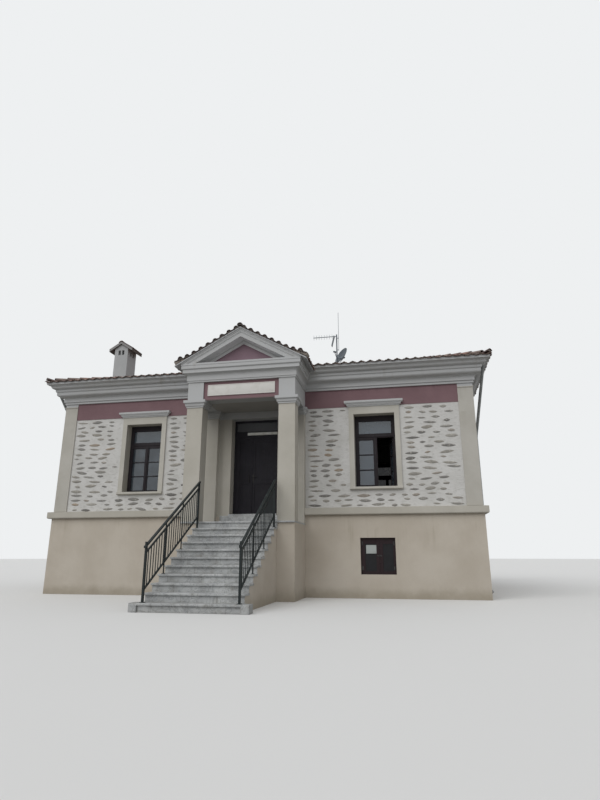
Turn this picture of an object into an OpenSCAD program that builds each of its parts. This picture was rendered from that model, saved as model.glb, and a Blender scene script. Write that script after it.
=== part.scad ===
// Town hall of one high storey on a basement, with a gabled porch over a flight of steps.
// The origin is on the ground under the middle of the front wall. X runs to the right along
// the front, Y runs into the building and Z is up. Sizes are millimetres.

/* [Plan] */
// Width of the front over its corner pilasters
front_w = 12000; // [10000:100:15000]
// Depth from the front pilasters to the back ones
side_d = 9000; // [7500:100:12000]
// Depth from the pilaster faces to the inner face of a wall
wall_t = 500; // [420:10:650]
// How far the stone face lies behind the pilasters
stone_back = 30; // [20:5:60]
// How far the basement face stands in front of the pilasters
basement_out = 20; // [10:5:60]
// Width of a corner pilaster
pilaster_w = 400; // [300:10:600]

/* [Levels] */
// Height of the basement walls
basement_h = 2050; // [1700:10:2500]
// Height of the door sill and the floor behind it over the basement walls
sill_h = 60; // [40:5:120]
// Thickness of the main floor
floor_t = 180; // [120:10:300]
// Height of the belt course
belt_h = 200; // [120:10:300]
// How far the belt course stands out
belt_out = 120; // [60:5:160]
// Height of the red frieze's lower edge over the basement
frieze_rise = 2925; // [2700:25:3600]
// Height of the red frieze
frieze_h = 500; // [300:10:700]
// Thickness of the frieze's render
frieze_t = 12; // [8:1:20]
// Height of the main cornice
cornice_h = 585; // [500:5:720]
// How far the main cornice stands out
cornice_out = 445; // [380:5:540]
// Thickness of the ceiling
ceiling_t = 120; // [80:10:200]

/* [Roof] */
// Rise of the main roof for each unit of run
roof_slope = 0.306; // [0.25:0.01:0.4]
// How far the eaves stand out past the cornice
eave_lap = 10; // [5:5:80]
// Height of the roof's edge at the eaves
eave_h = 20; // [15:5:120]
// Upright thickness of the roof over the rooms
roof_t = 220; // [150:10:300]

/* [Porch] */
// Width over the two outer pier faces
porch_w = 2910; // [2700:10:3400]
// How far the piers stand in front of the pilasters
porch_d = 1400; // [1200:10:1800]
// Width of a pier
pier_w = 430; // [350:5:520]
// Depth of a pier
pier_d = 400; // [300:5:500]
// How far the half piers stand out from the wall
respond_d = 145; // [100:5:200]
// Height of the porch floor
porch_floor_h = 1840; // [1500:10:1950]
// Height of a capital
capital_h = 200; // [150:5:260]
// How far a capital stands out
capital_out = 85; // [60:5:110]
// Depth of the red panel over the porch way
panel_in = 40; // [20:5:60]
// Height of the porch's level cornice
porch_cornice_h = 490; // [450:5:560]
// How far the level cornice stands out
porch_cornice_out = 176; // [150:2:220]
// Thickness of the porch ceiling
porch_ceiling_t = 55; // [40:5:80]

/* [Gable] */
// Rise of the gable for each unit of run
gable_slope = 0.55; // [0.44:0.01:0.63]
// Height of the gable's point over the level cornice
gable_h = 905; // [880:5:1100]
// Upright thickness of the porch roof
porch_roof_t = 35; // [30:5:100]
// How far the porch roof reaches past the piers at the sides
porch_eave_side = 335; // [280:5:400]
// How far the porch roof reaches past the piers at the front
porch_eave_front = 220; // [210:5:300]
// How far the raking cornice stands out
rake_out = 200; // [180:5:210]
// Depth of the raking cornice under the roof
rake_h = 225; // [180:5:260]
// How far the gable wall's face lies behind the front of the piers
tympanum_back = 150; // [100:10:180]
// Width of the plain band round the red field
tympanum_band = 62; // [40:2:70]

/* [Windows] */
// Distance of a window's middle from the door's middle
window_x = 3354; // [2950:10:3800]
// Width of a window opening
window_w = 1098; // [1000:5:1320]
// Height of a window opening
window_h = 1976; // [1600:5:2050]
// Height of a window opening over the main floor
window_sill_h = 670; // [560:10:900]
// Width of the plaster band round a window
surround_w = 135; // [100:5:165]
// How far the plaster band stands out past the pilasters
surround_out = 10; // [5:1:20]
// Height of the head over a window opening, up to the hood
window_head_h = 209; // [150:5:250]
// Height of a window hood
hood_h = 182; // [150:2:220]
// How far a window hood stands out past the plaster band
hood_out = 110; // [80:5:130]
// Distance between the two side windows
side_window_gap = 4000; // [3200:100:4800]
// Depth of a window frame behind the pilasters
frame_back = 280; // [200:10:350]
// Thickness of a window frame
frame_t = 60; // [45:5:75]
// Width of the stiles beside and between the lights
stile_w = 95; // [80:5:115]
// Height of the rail over the upper lights
head_rail = 150; // [100:5:180]
// Height of the upper lights
upper_light_h = 361; // [300:5:430]
// Height of the bar under the upper lights
transom_h = 159; // [120:5:190]
// Height of the rail under the casements
foot_rail = 60; // [50:5:90]
// Thickness of a pane
glass_t = 6; // [4:1:8]
// How far the one open casement is turned
open_sash_turn = 78; // [60:1:88]

/* [Door] */
// Width of the door opening
door_w = 1340; // [1200:10:1500]
// Height of the door opening over the sill
door_h = 2675; // [2300:5:2750]
// Width of the door frame at the sides
jamb_w = 65; // [50:5:80]
// Depth of the door frame behind the pilasters
door_back = 335; // [150:5:350]
// Thickness of the leaves and of the frame
leaf_t = 50; // [40:2:60]
// Height of the rail over the leaves
door_rail_h = 198; // [150:2:230]
// Height of the light over the door
fanlight_h = 253; // [160:1:280]
// Distance of the leaves' joint from the door's middle, to the left
joint_off = 150; // [0:5:160]
// Gap round a leaf at the sides and the head
leaf_gap = 5; // [5:1:10]
// Gap under a leaf
leaf_foot_gap = 8; // [6:1:12]
// Radius of a hinge knuckle
knuckle_r = 7; // [5:0.5:9]

/* [Hatch] */
// Distance of the basement hatch from the door's middle
hatch_x = 3335; // [2800:5:3800]
// Width of the hatch
hatch_w = 890; // [700:10:1070]
// Height of the hatch
hatch_h = 900; // [700:10:1080]
// Height of the hatch's foot over the ground
hatch_z = 570; // [400:10:650]
// Depth of the hatch doors in the wall
hatch_back = 60; // [40:5:120]

/* [Stair] */
// Number of risers
risers = 11; // [10:1:13]
// Depth of a step from nosing to nosing
going = 283; // [260:1:340]
// Width of the flight
stair_w = 2060; // [1800:10:2480]
// Thickness of a marble tread
tread_t = 40; // [30:5:50]
// How far a nosing stands out
nosing = 40; // [20:5:50]
// Distance of a railing from the flight's edge
rail_in = 60; // [50:5:90]
// Height of a handrail over the line of nosings
rail_h = 1005; // [900:5:1200]
// Width of a handrail
rail_w = 50; // [40:2:60]
// Distance between the railing's bars
bar_pitch = 110; // [95:5:135]

/* [Chimney] */
// Width of the chimney stack
stack_w = 480; // [400:10:580]
// Depth of the chimney stack
stack_d = 580; // [480:10:700]
// Distance of the chimney from the front pilasters
stack_y = 1500; // [1200:10:2000]
// Height of the stack's shoulders over the cornice
stack_h = 1796; // [1500:10:2100]
// Rise of the chimney cap for each unit of run
cap_slope = 0.64; // [0.5:0.02:0.77]
// How far the chimney cap reaches past the stack
cap_lap = 180; // [120:5:210]
// Upright thickness of the chimney cap
cap_t = 80; // [60:5:100]

/* [Aerials] */
// Distance of the mast from the door's middle
mast_x = 2240; // [2000:10:2680]
// Distance of the mast from the front pilasters
mast_y = 1200; // [1000:10:1500]
// Height of the mast's top over the cornice
mast_h = 1590; // [1400:10:1900]
// Radius of the dish
dish_r = 275; // [200:5:330]

/* [Hidden] */

// Long enough to pass right through the building in any direction
far = front_w + side_d;
half_w = front_w / 2;
porch_half = porch_w / 2;
pier_in = porch_half - pier_w;
pier_back = pier_d - porch_d;

// Levels
floor_z = basement_h + sill_h;
frieze_z = basement_h + frieze_rise;
cornice_z = frieze_z + frieze_h;
wall_top = cornice_z + cornice_h;
ceiling_z = cornice_z + 25;
window_z = floor_z + window_sill_h;
window_top = window_z + window_h;
hood_z = window_top + window_head_h;

// Roof
eave_out = cornice_out + eave_lap;
eave_z = wall_top + eave_h;
porch_top = cornice_z + porch_cornice_h;
gable_z = porch_top + gable_h;
porch_eave = porch_half + porch_eave_side;
porch_face = -porch_d;
gable_face = porch_face + tympanum_back;
gable_angle = atan(gable_slope);
// Where the porch ridge runs into the main roof
ridge_end = (gable_z + porch_roof_t - eave_z) / roof_slope - eave_out;

// Stair
riser = porch_floor_h / risers;
steps = risers - 1;
stair_front = porch_face - nosing;
stair_half = stair_w / 2;
rail_x = stair_half - rail_in;
foot_y = stair_front - going * steps + 130;
post_w = 42;

// Door
door_half = door_w / 2;
door_top = floor_z + door_h;
leaf_edge = door_half - jamb_w - leaf_gap;
rail_z = door_top - jamb_w - fanlight_h - door_rail_h;
leaf_foot = floor_z + leaf_foot_gap;
leaf_top = rail_z - leaf_gap;
hinge_x = door_half - jamb_w - leaf_gap / 2;
hinge_y = door_back + leaf_t + knuckle_r + 0.5;
knuckle_h = 40;
knuckle_gap = 0.3;

// Each window is a place on a pilaster face and a turn of its wall: across the front, the
// back and the two sides
front_windows = [for (s = [-1, 1]) [s * window_x, 0, 0]];
back_windows = [for (s = [-1, 0, 1]) [s * window_x, side_d, 180]];
left_windows = [for (s = [-1, 1]) [-half_w, side_d / 2 + s * side_window_gap / 2, -90]];
right_windows = [for (s = [-1, 1]) [half_w, side_d / 2 + s * side_window_gap / 2, 90]];
all_windows = concat(front_windows, back_windows, left_windows, right_windows);
open_window = front_windows[1];

trim = "#d9d5cb";
stone = "#b9b3a8";
render = "#cfc3ab";
red = "#8e4b45";
timber = "#33261f";
tile = "#b5714f";
marble = "#d5d5d2";
iron = "#24302b";
pane = "#4d5a62";
metal = "#9aa0a3";

// Shapes

// A box between two values on each axis
module block(x, y, z) {
    translate([x[0], y[0], z[0]])
        cube([x[1] - x[0], y[1] - y[0], z[1] - z[0]]);
}

// A bar along X whose outline lies in Y and Z
module prism_x(x, outline) {
    translate([x[0], 0, 0])
        rotate([90, 0, 90])
            linear_extrude(x[1] - x[0])
                polygon(outline);
}

// A bar along Y whose outline lies in X and Z
module prism_y(y, outline) {
    translate([0, y[1], 0])
        rotate([90, 0, 0])
            linear_extrude(y[1] - y[0])
                polygon(outline);
}

// An upright bar over an outline on the ground
module prism_z(z, outline) {
    translate([0, 0, z[0]])
        linear_extrude(z[1] - z[0])
            polygon(outline);
}

module both_sides() {
    children();
    mirror([1, 0, 0])
        children();
}

function turned(list) = [for (i = [len(list) - 1:-1:0]) list[i]];

// Curves of a moulding, from a lower inner point to an upper outer point
curve_steps = 5;
function bulge(a, b) = [for (i = [0:curve_steps]) let (t = 90 * i / curve_steps)
    [a[0] + (b[0] - a[0]) * sin(t), b[1] - (b[1] - a[1]) * cos(t)]];
function hollow(a, b) = [for (i = [0:curve_steps]) let (t = 90 * i / curve_steps)
    [b[0] - (b[0] - a[0]) * cos(t), a[1] + (b[1] - a[1]) * sin(t)]];
function s_curve(a, b) = let (m = (a + b) / 2)
    concat(bulge(a, m), [for (i = [1:curve_steps]) hollow(m, b)[i]]);

// A moulding runs round a block: its profile is a list of how far out and how high, and the
// mitres come where the runs along X and along Y cross
module moulded_block(x, y, profile, back = 0) {
    intersection() {
        prism_x([x[0] - far, x[1] + far], concat([for (p = profile) [y[0] - p[0], p[1]]],
            [for (p = turned(profile)) [y[1] + p[0] * back, p[1]]]));
        prism_y([y[0] - far, y[1] + far], concat([for (p = profile) [x[0] - p[0], p[1]]],
            [for (p = turned(profile)) [x[1] + p[0], p[1]]]));
    }
}

// The same round the whole building
module round_building(profile) {
    moulded_block([-half_w, half_w], [0, side_d], profile, 1);
}

// The ground plan of one side's share of a moulding, cut at 45 degrees at the corners
module front_share(depth) {
    prism_z([0, far], [[-half_w - far, -far], [half_w + far, -far],
        [half_w - depth, depth], [-half_w + depth, depth]]);
}

module back_share(depth) {
    translate([0, side_d, 0])
        mirror([0, 1, 0])
            front_share(depth);
}

module left_share(depth) {
    prism_z([0, far], [[-half_w - far, -far], [-half_w + depth, depth],
        [-half_w + depth, side_d - depth], [-half_w - far, side_d + far]]);
}

module at_windows(places) {
    for (w = places)
        translate([w[0], w[1], 0])
            rotate([0, 0, w[2]])
                children();
}

module window_holes(places) {
    at_windows(places)
        block([-window_w / 2, window_w / 2], [-wall_t, 2 * wall_t], [window_z, window_top]);
}

// Basement

module basement_front_wall() {
    color(render)
        difference() {
            block([-half_w - basement_out, half_w + basement_out], [-basement_out, wall_t],
                [0, basement_h]);
            block([hatch_x - hatch_w / 2, hatch_x + hatch_w / 2], [-wall_t, 2 * wall_t],
                [hatch_z, hatch_z + hatch_h]);
        }
}

module basement_back_wall() {
    color(render)
        block([-half_w - basement_out, half_w + basement_out],
            [side_d - wall_t, side_d + basement_out], [0, basement_h]);
}

module basement_left_wall() {
    color(render)
        block([-half_w - basement_out, -half_w + wall_t], [wall_t, side_d - wall_t],
            [0, basement_h]);
}

module basement_right_wall() {
    color(render)
        block([half_w - wall_t, half_w + basement_out], [wall_t, side_d - wall_t],
            [0, basement_h]);
}

// Two doors close the hatch and meet with a narrow gap a little right of its middle. Each is a
// frame round one sunk pane
module basement_shutters() {
    gap = 4;
    leaf_d = 45;
    sunk = 18;
    joint = 34;
    inner_stile = 83;
    outer_stiles = [110, 66];
    top_rail = 150;
    bottom_rail = 80;
    color(timber)
        for (side = [0, 1]) {
            turn = side * 2 - 1;
            width = hatch_w / 2 - turn * joint - gap / 2;
            translate([hatch_x + joint + turn * gap / 2, 0, 0])
                mirror([1 - side, 0, 0])
                    difference() {
                        block([0, width], [hatch_back, hatch_back + leaf_d],
                            [hatch_z, hatch_z + hatch_h]);
                        block([inner_stile, width - outer_stiles[side]],
                            [-far, hatch_back + sunk],
                            [hatch_z + bottom_rail, hatch_z + hatch_h - top_rail]);
                    }
        }
}

// A plain band with a rounded lower edge and a weathered top; it stops at the porch
module belt_course() {
    ease = 35;
    color(trim)
        difference() {
            round_building(concat([[-stone_back, basement_h]],
                bulge([belt_out - ease, basement_h], [belt_out, basement_h + ease]),
                [[belt_out, basement_h + belt_h - 20], [-stone_back, basement_h + belt_h]]));
            block([-half_w + stone_back, half_w - stone_back],
                [stone_back, side_d - stone_back], [0, far]);
            block([-porch_half, porch_half], [-far, wall_t], [0, far]);
        }
}

// Walls of the main storey

module main_floor() {
    color(marble)
        block([-half_w + wall_t, half_w - wall_t], [wall_t, side_d - wall_t],
            [floor_z - floor_t, floor_z]);
}

module front_wall(side) {
    x = [-half_w + stone_back, -door_half];
    color(stone)
        difference() {
            block(side < 0 ? x : [-x[1], -x[0]], [stone_back, wall_t], [basement_h, wall_top]);
            window_holes(front_windows);
        }
}

module front_wall_left() {
    front_wall(-1);
}

module front_wall_right() {
    front_wall(1);
}

module wall_over_door() {
    color(stone)
        block([-door_half, door_half], [stone_back, wall_t], [door_top, wall_top]);
}

module back_wall() {
    color(stone)
        difference() {
            block([-half_w + stone_back, half_w - stone_back],
                [side_d - wall_t, side_d - stone_back], [basement_h, wall_top]);
            window_holes(back_windows);
        }
}

module left_wall() {
    color(stone)
        difference() {
            block([-half_w + stone_back, -half_w + wall_t], [wall_t, side_d - wall_t],
                [basement_h, wall_top]);
            window_holes(left_windows);
        }
}

module right_wall() {
    color(stone)
        difference() {
            block([half_w - wall_t, half_w - stone_back], [wall_t, side_d - wall_t],
                [basement_h, wall_top]);
            window_holes(right_windows);
        }
}

module ceiling() {
    color(trim)
        block([-half_w + wall_t, half_w - wall_t], [wall_t, side_d - wall_t],
            [ceiling_z, ceiling_z + ceiling_t]);
}

// Each pilaster turns the corner and has a narrow moulding below its top
module corner_pilasters() {
    collar_z = cornice_z - 145;
    collar_h = 55;
    collar_out = 22;
    z0 = basement_h + belt_h;
    color(trim)
        difference() {
            round_building(concat([[-stone_back, z0], [0, z0]],
                [[0, collar_z]], hollow([0, collar_z], [collar_out, collar_z + collar_h * 0.6]),
                [[collar_out, collar_z + collar_h], [0, collar_z + collar_h],
                [0, cornice_z], [-stone_back, cornice_z]]));
            block([-half_w + stone_back, half_w - stone_back],
                [stone_back, side_d - stone_back], [0, far]);
            block([-half_w + pilaster_w, half_w - pilaster_w], [-far, far], [0, far]);
            block([-far, far], [pilaster_w, side_d - pilaster_w], [0, far]);
        }
}

// The red render lies on the stone between the pilasters and behind the window hoods
module frieze_band() {
    face = stone_back - frieze_t;
    color(red)
        difference() {
            union() {
                block([-half_w + pilaster_w, -porch_half], [face, stone_back],
                    [frieze_z, cornice_z]);
                block([porch_half, half_w - pilaster_w], [face, stone_back],
                    [frieze_z, cornice_z]);
                block([-half_w + pilaster_w, half_w - pilaster_w],
                    [side_d - stone_back, side_d - face], [frieze_z, cornice_z]);
                both_sides()
                    block([half_w - stone_back, half_w - face],
                        [pilaster_w, side_d - pilaster_w], [frieze_z, cornice_z]);
            }
            at_windows(all_windows)
                hood();
        }
}

// Main cornice: two small fascias, a hollow and a bulge, a drip face and a deep gutter curve
function cornice_profile() =
    let (z = cornice_z, top = wall_top, corona = cornice_out * 0.5)
    concat([[-stone_back, z], [30, z], [30, z + 65], [60, z + 65], [60, z + 165]],
        hollow([60, z + 165], [corona - 82, top - 367]),
        bulge([corona - 82, top - 367], [corona, top - 306]),
        [[corona, top - 236]],
        bulge([corona + 12, top - 236], [corona + 32, top - 200]),
        [[corona + 32, top - 154]],
        s_curve([corona + 32, top - 154], [cornice_out, top - 35]),
        [[cornice_out, top], [-stone_back, top]]);

module cornice_front() {
    color(trim)
        difference() {
            intersection() {
                round_building(cornice_profile());
                front_share(stone_back);
            }
            block([-porch_half, porch_half], [-far, far], [0, far]);
        }
}

module cornice_back() {
    color(trim)
        intersection() {
            round_building(cornice_profile());
            back_share(stone_back);
        }
}

module cornice_sides() {
    color(trim)
        both_sides()
            intersection() {
                round_building(cornice_profile());
                left_share(stone_back);
            }
}

// Main roof

// The hipped mass over the eaves, with its lower side at z and its slopes lowered by drop
module hip_mass(z, drop, out) {
    top = eave_z - drop;
    rise_y = roof_slope * (eave_out + side_d / 2);
    rise_x = roof_slope * (eave_out + half_w);
    edge = top + roof_slope * (eave_out - out);
    intersection() {
        prism_x([-half_w - far, half_w + far], [[-out, z], [side_d + out, z],
            [side_d + out, edge], [side_d / 2, top + rise_y], [-out, edge]]);
        prism_y([-far, side_d + far], [[-half_w - out, z], [half_w + out, z],
            [half_w + out, edge], [0, top + rise_x], [-half_w - out, edge]]);
    }
}

// What the main roof takes up: all of the hip but the bay where the porch comes in
module main_roof_mass() {
    difference() {
        hip_mass(wall_top, 0, eave_out);
        block([-porch_half, porch_half], [-far, stone_back], [0, far]);
    }
}

module roof_shell() {
    difference() {
        main_roof_mass();
        hip_mass(0, roof_t, -wall_t);
        stack_body();
    }
}

module roof_front_slope() {
    color(tile)
        intersection() {
            roof_shell();
            front_share(side_d / 2);
        }
}

module roof_back_slope() {
    color(tile)
        intersection() {
            roof_shell();
            back_share(side_d / 2);
        }
}

module roof_hip_ends() {
    color(tile) {
        intersection() {
            roof_shell();
            left_share(side_d / 2);
        }
        intersection() {
            roof_shell();
            mirror([1, 0, 0])
                left_share(side_d / 2);
        }
    }
}

// Chimney

stack_x = -half_w + wall_t + 50 + stack_w / 2;
stack_top = wall_top + stack_h;
stack_foot = ceiling_z + ceiling_t;
cap_apex = stack_top + cap_slope * stack_w / 2;

module stack_body() {
    prism_y([stack_y, stack_y + stack_d],
        [[stack_x - stack_w / 2, stack_foot], [stack_x + stack_w / 2, stack_foot],
        [stack_x + stack_w / 2, stack_top], [stack_x, cap_apex],
        [stack_x - stack_w / 2, stack_top]]);
}

// The flue ends under the cap, where two upright slots in each face let the smoke out
module chimney_stack() {
    shell = 120;
    slot_w = 85;
    slot_h = 165;
    slot_z = stack_top - 70 - slot_h;
    color(trim)
        difference() {
            stack_body();
            block([stack_x - stack_w / 2 + shell, stack_x + stack_w / 2 - shell],
                [stack_y + shell, stack_y + stack_d - shell], [stack_foot + 200, stack_top - 40]);
            for (s = [-1, 1]) {
                block([stack_x + s * 65 - slot_w / 2, stack_x + s * 65 + slot_w / 2],
                    [0, far], [slot_z, slot_z + slot_h]);
                block([-far, far], [stack_y + stack_d / 2 + s * 85 - slot_w / 2,
                    stack_y + stack_d / 2 + s * 85 + slot_w / 2], [slot_z, slot_z + slot_h]);
            }
        }
}

module chimney_cap() {
    reach = stack_w / 2 + cap_lap;
    edge = cap_apex - cap_slope * reach;
    color(tile)
        prism_y([stack_y - cap_lap / 3, stack_y + stack_d + cap_lap / 3],
            [[stack_x, cap_apex], [stack_x + reach, edge], [stack_x + reach, edge + cap_t],
            [stack_x, cap_apex + cap_t], [stack_x - reach, edge + cap_t],
            [stack_x - reach, edge]]);
}

// Aerials: a mast on the front slope with a boom of short upright rods, a sloping reflector, a
// tall whip beside the mast and a small dish
module roof_aerials() {
    mast_r = 20;
    mast_top = wall_top + mast_h;
    boom_z = mast_top - 60;
    boom_len = 730;
    boom_t = 18;
    rods = 8;
    rod_h = 150;
    reflector_w = 170;
    reflector_t = 14;
    whip_x = mast_x + 60;
    whip_z = mast_top - 550;
    whip_len = 1290;
    dish_z = wall_top + 810;
    arm_len = 220;
    color(metal)
        difference() {
            union() {
                translate([mast_x, mast_y, wall_top])
                    cylinder(r = mast_r, h = mast_h, $fn = 24);
                prism_y([mast_y - reflector_w / 2, mast_y + reflector_w / 2],
                    strip([mast_x - 76, boom_z], [mast_x - 152, boom_z - 310], reflector_t));
                translate([whip_x, mast_y, whip_z])
                    cylinder(r = 6, h = whip_len, $fn = 16);
                for (z = [whip_z + 30, mast_top - 130])
                    block([mast_x, whip_x], [mast_y - 8, mast_y + 8], [z, z + 16]);
                block([mast_x - boom_len, mast_x], [mast_y - boom_t / 2, mast_y + boom_t / 2],
                    [boom_z - boom_t / 2, boom_z + boom_t / 2]);
                for (i = [1:rods])
                    translate([mast_x - boom_len + 15 + (i - 1) * 82, mast_y, boom_z - rod_h / 2])
                        cylinder(r = 4, h = rod_h, $fn = 16);
                block([mast_x, mast_x + arm_len], [mast_y - 14, mast_y + 14],
                    [dish_z - 14, dish_z + 14]);
                translate([mast_x + arm_len, mast_y, dish_z])
                    rotate([0, 0, -50])
                        rotate([65, 0, 0])
                            translate([0, 0, 45])
                                dish();
            }
            main_roof_mass();
        }
}

// A shallow bowl, open along its own Z, with an arm from its back that passes below the rim
// and holds the receiver in front
module dish() {
    bowl_r = 520;
    skin = 5;
    tilt = asin(dish_r / bowl_r);
    hub_h = 60;
    arm_t = 16;
    elbow = [-dish_r - 35, 35];
    receiver = [-30, 320];
    inner_r = bowl_r - skin;
    rings = 8;
    rotate_extrude($fn = 48)
        polygon(concat([[0, -hub_h], [30, -hub_h], [30, 1]],
            [for (i = [1:rings]) let (a = tilt * i / rings)
            [bowl_r * sin(a), bowl_r * (1 - cos(a))]],
            [for (i = [rings:-1:1]) let (a = tilt * i / rings)
            [inner_r * sin(a), skin + inner_r * (1 - cos(a))]],
            [[0, skin + inner_r * (1 - cos(tilt / rings))]]));
    prism_x([-arm_t / 2, arm_t / 2], strip([0, -hub_h * 0.6], elbow, arm_t));
    prism_x([-arm_t / 2, arm_t / 2], strip(elbow, receiver, arm_t));
    translate([0, receiver[0], receiver[1]])
        rotate([25, 0, 0])
            cylinder(r = 26, h = 80, center = true, $fn = 24);
}

// The outline of a straight bar from a to b with half its width added at both ends
function strip(a, b, w) = let (d = (b - a) / norm(b - a) * w / 2, n = [-d[1], d[0]])
    [a - d + n, b + d + n, b + d - n, a - d - n];

// Porch

module porch_podium() {
    color(render)
        block([-porch_half, porch_half], [porch_face, -basement_out],
            [0, porch_floor_h - tread_t]);
}

// The step before the door and the sill in the doorway are one stone
module door_step() {
    step_half = 820;
    step_d = 300;
    round_r = 12;
    color(marble) {
        prism_x([-step_half, step_half], concat([[-basement_out, porch_floor_h],
            [-basement_out, basement_h]],
            [for (a = [90:22.5:180]) [-basement_out - step_d + round_r + round_r * cos(a),
                basement_h - round_r + round_r * sin(a)]],
            [[-basement_out - step_d, porch_floor_h]]));
        block([-door_half, door_half], [-basement_out - 40, wall_t], [basement_h, floor_z]);
    }
}

function capital_profile() =
    let (z = frieze_z - capital_h)
    concat([[0, porch_floor_h], [0, z], [capital_out * 0.22, z], [capital_out * 0.22, z + 34]],
        s_curve([capital_out * 0.22, z + 34], [capital_out * 0.85, z + 118]),
        [[capital_out * 0.85, z + 128], [capital_out, z + 128], [capital_out, frieze_z]]);

// Free piers in front and half piers against the wall, all with the same capital
module porch_piers() {
    color(trim) {
        both_sides()
            moulded_block([pier_in, porch_half], [porch_face, pier_back], capital_profile(), 1);
        both_sides()
            difference() {
                intersection() {
                    moulded_block([pier_in, porch_half], [-respond_d, wall_t],
                        capital_profile());
                    block([0, far], [-far, stone_back], [0, far]);
                }
                block([0, far], [-basement_out, far], [0, basement_h]);
                belt_course();
            }
    }
}

// Level cornice of the porch: fascias, a hollow, a drip face and a thin top band
function porch_profile() =
    let (z = cornice_z, out = porch_cornice_out, top = porch_top)
    concat([[0, frieze_z], [0, z], [25, z], [25, z + 42], [40, z + 42], [40, z + 165]],
        hollow([40, z + 165], [out - 40, top - 254]),
        [[out - 40, top - 160]],
        bulge([out - 40, top - 160], [out - 9, top - 130]),
        [[out - 9, top - 58], [out, top - 50], [out, gable_z]]);

// All that lies under the porch's two roof planes
module under_gable() {
    prism_y([-far, far], [[-far, gable_z - gable_slope * far], [0, gable_z],
        [far, gable_z - gable_slope * far]]);
}

module porch_mass() {
    moulded_block([-porch_half, porch_half], [porch_face, wall_t], porch_profile());
}

// The front beam carries the red panel where the name plate hangs
module porch_entablature_front() {
    color(trim)
        difference() {
            intersection() {
                porch_mass();
                under_gable();
                block([-far, far], [-far, pier_back], [0, porch_top]);
            }
            block([-pier_in, pier_in], [-far, porch_face + panel_in], [0, cornice_z]);
        }
}

// The side beams run back to the wall and rise to the roof; outside them the main cornice
// and the main eaves keep their place
module porch_entablature_sides() {
    color(trim)
        difference() {
            intersection() {
                porch_mass();
                under_gable();
                block([-far, far], [pier_back, stone_back], [0, far]);
            }
            block([-pier_in, pier_in], [-far, far], [0, far]);
            difference() {
                union() {
                    round_building(cornice_profile());
                    hip_mass(wall_top, 0, eave_out);
                }
                block([-porch_half, porch_half], [-far, far], [0, far]);
            }
            frieze_band();
        }
}

// The ceiling is level with the undersides of the beams
module porch_ceiling() {
    color(trim)
        block([-pier_in, pier_in], [pier_back, stone_back],
            [frieze_z, frieze_z + porch_ceiling_t]);
}

// The gable wall stands behind the front of the piers. Its sunk red field leaves a plain band
// under the raking cornice and over the level one
module pediment_wall() {
    edge = porch_half + porch_cornice_out;
    sunk = 30;
    foot = porch_top + tympanum_band;
    apex = gable_z - (rake_h + tympanum_band) / cos(gable_angle);
    field_half = (apex - foot) / gable_slope;
    color(trim)
        difference() {
            intersection() {
                under_gable();
                block([-edge, edge], [gable_face, pier_back], [porch_top, far]);
            }
            prism_y([-far, gable_face + sunk],
                [[-field_half, foot], [field_half, foot], [0, apex]]);
        }
}

// Raking cornice: one profile run down each slope from the gable's point, with a wide flat
// underside and a small hollow against the wall. In the profile the second value is the depth
// square to the roof
module raking_cornice() {
    out = rake_out;
    back = -tympanum_back;
    drip = -rake_h + 35;
    under = drip + 14;
    profile = concat([[back, 0], [out, 0]],
        turned(s_curve([out - 50, -90], [out, -22])),
        [[out - 50, drip], [out - 72, drip], [out - 72, under]],
        turned(hollow([back + 12, -rake_h + 8], [back + 50, under])),
        [[back + 12, -rake_h], [back, -rake_h]]);
    end_x = porch_half + porch_cornice_out;
    color(trim)
        both_sides()
            intersection() {
                translate([0, 0, gable_z])
                    rotate([0, gable_angle, 0])
                        prism_x([-far / 4, far / 4],
                            [for (p = profile) [porch_face - p[0], p[1]]]);
                block([0, end_x], [-far, far], [porch_top, far]);
            }
}

module porch_roof() {
    edge = gable_z - gable_slope * porch_eave;
    color(tile)
        difference() {
            prism_y([porch_face - porch_eave_front, ridge_end + 150],
                [[0, gable_z], [porch_eave, edge], [porch_eave, edge + porch_roof_t],
                [0, gable_z + porch_roof_t], [-porch_eave, edge + porch_roof_t],
                [-porch_eave, edge]]);
            main_roof_mass();
            both_sides()
                block([porch_half, far], [-eave_out, far], [0, eave_z]);
        }
}

// Stair

function step_z(k) = porch_floor_h - k * riser;
function step_y(k) = porch_face - k * going;
// Number of the step under a point of the flight
function step_at(y) = ceil((stair_front - y) / going);

// The masonry under the treads, with a low block at each end of the bottom step
module stair_core() {
    end_w = 160;
    core_half = stair_half - 15;
    color(marble)
        union() {
            prism_x([-core_half, core_half], concat([[porch_face, 0]],
                [for (k = [1:steps]) for (p = [[step_y(k - 1), step_z(k) - tread_t],
                    [step_y(k), step_z(k) - tread_t]]) p],
                [[step_y(steps), 0]]));
            both_sides() {
                block([stair_half, stair_half + end_w],
                    [step_y(steps) - nosing, step_y(steps) + 230], [0, step_z(steps)]);
                block([core_half, stair_half], [step_y(steps), step_y(steps) + 230],
                    [0, step_z(steps) - tread_t]);
            }
        }
}

// One slab for each step with a rounded nosing, the landing over the whole podium, and the
// facing slab of the top riser
module stair_treads() {
    riser_t = 15;
    color(marble) {
        for (k = [1:steps])
            tread([-stair_half, stair_half], step_y(k) - nosing, step_y(k - 1), step_z(k));
        tread([-porch_half, porch_half], stair_front, -basement_out, porch_floor_h);
        block([-stair_half, stair_half], [porch_face - riser_t, porch_face],
            [step_z(1), porch_floor_h - tread_t]);
    }
}

module tread(x, front, back, top) {
    r = tread_t / 3;
    prism_x(x, concat([[back, top - tread_t], [back, top]],
        [for (a = [90:22.5:180]) [front + r + r * cos(a), top - r + r * sin(a)]],
        [[front, top - tread_t]]));
}

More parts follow.
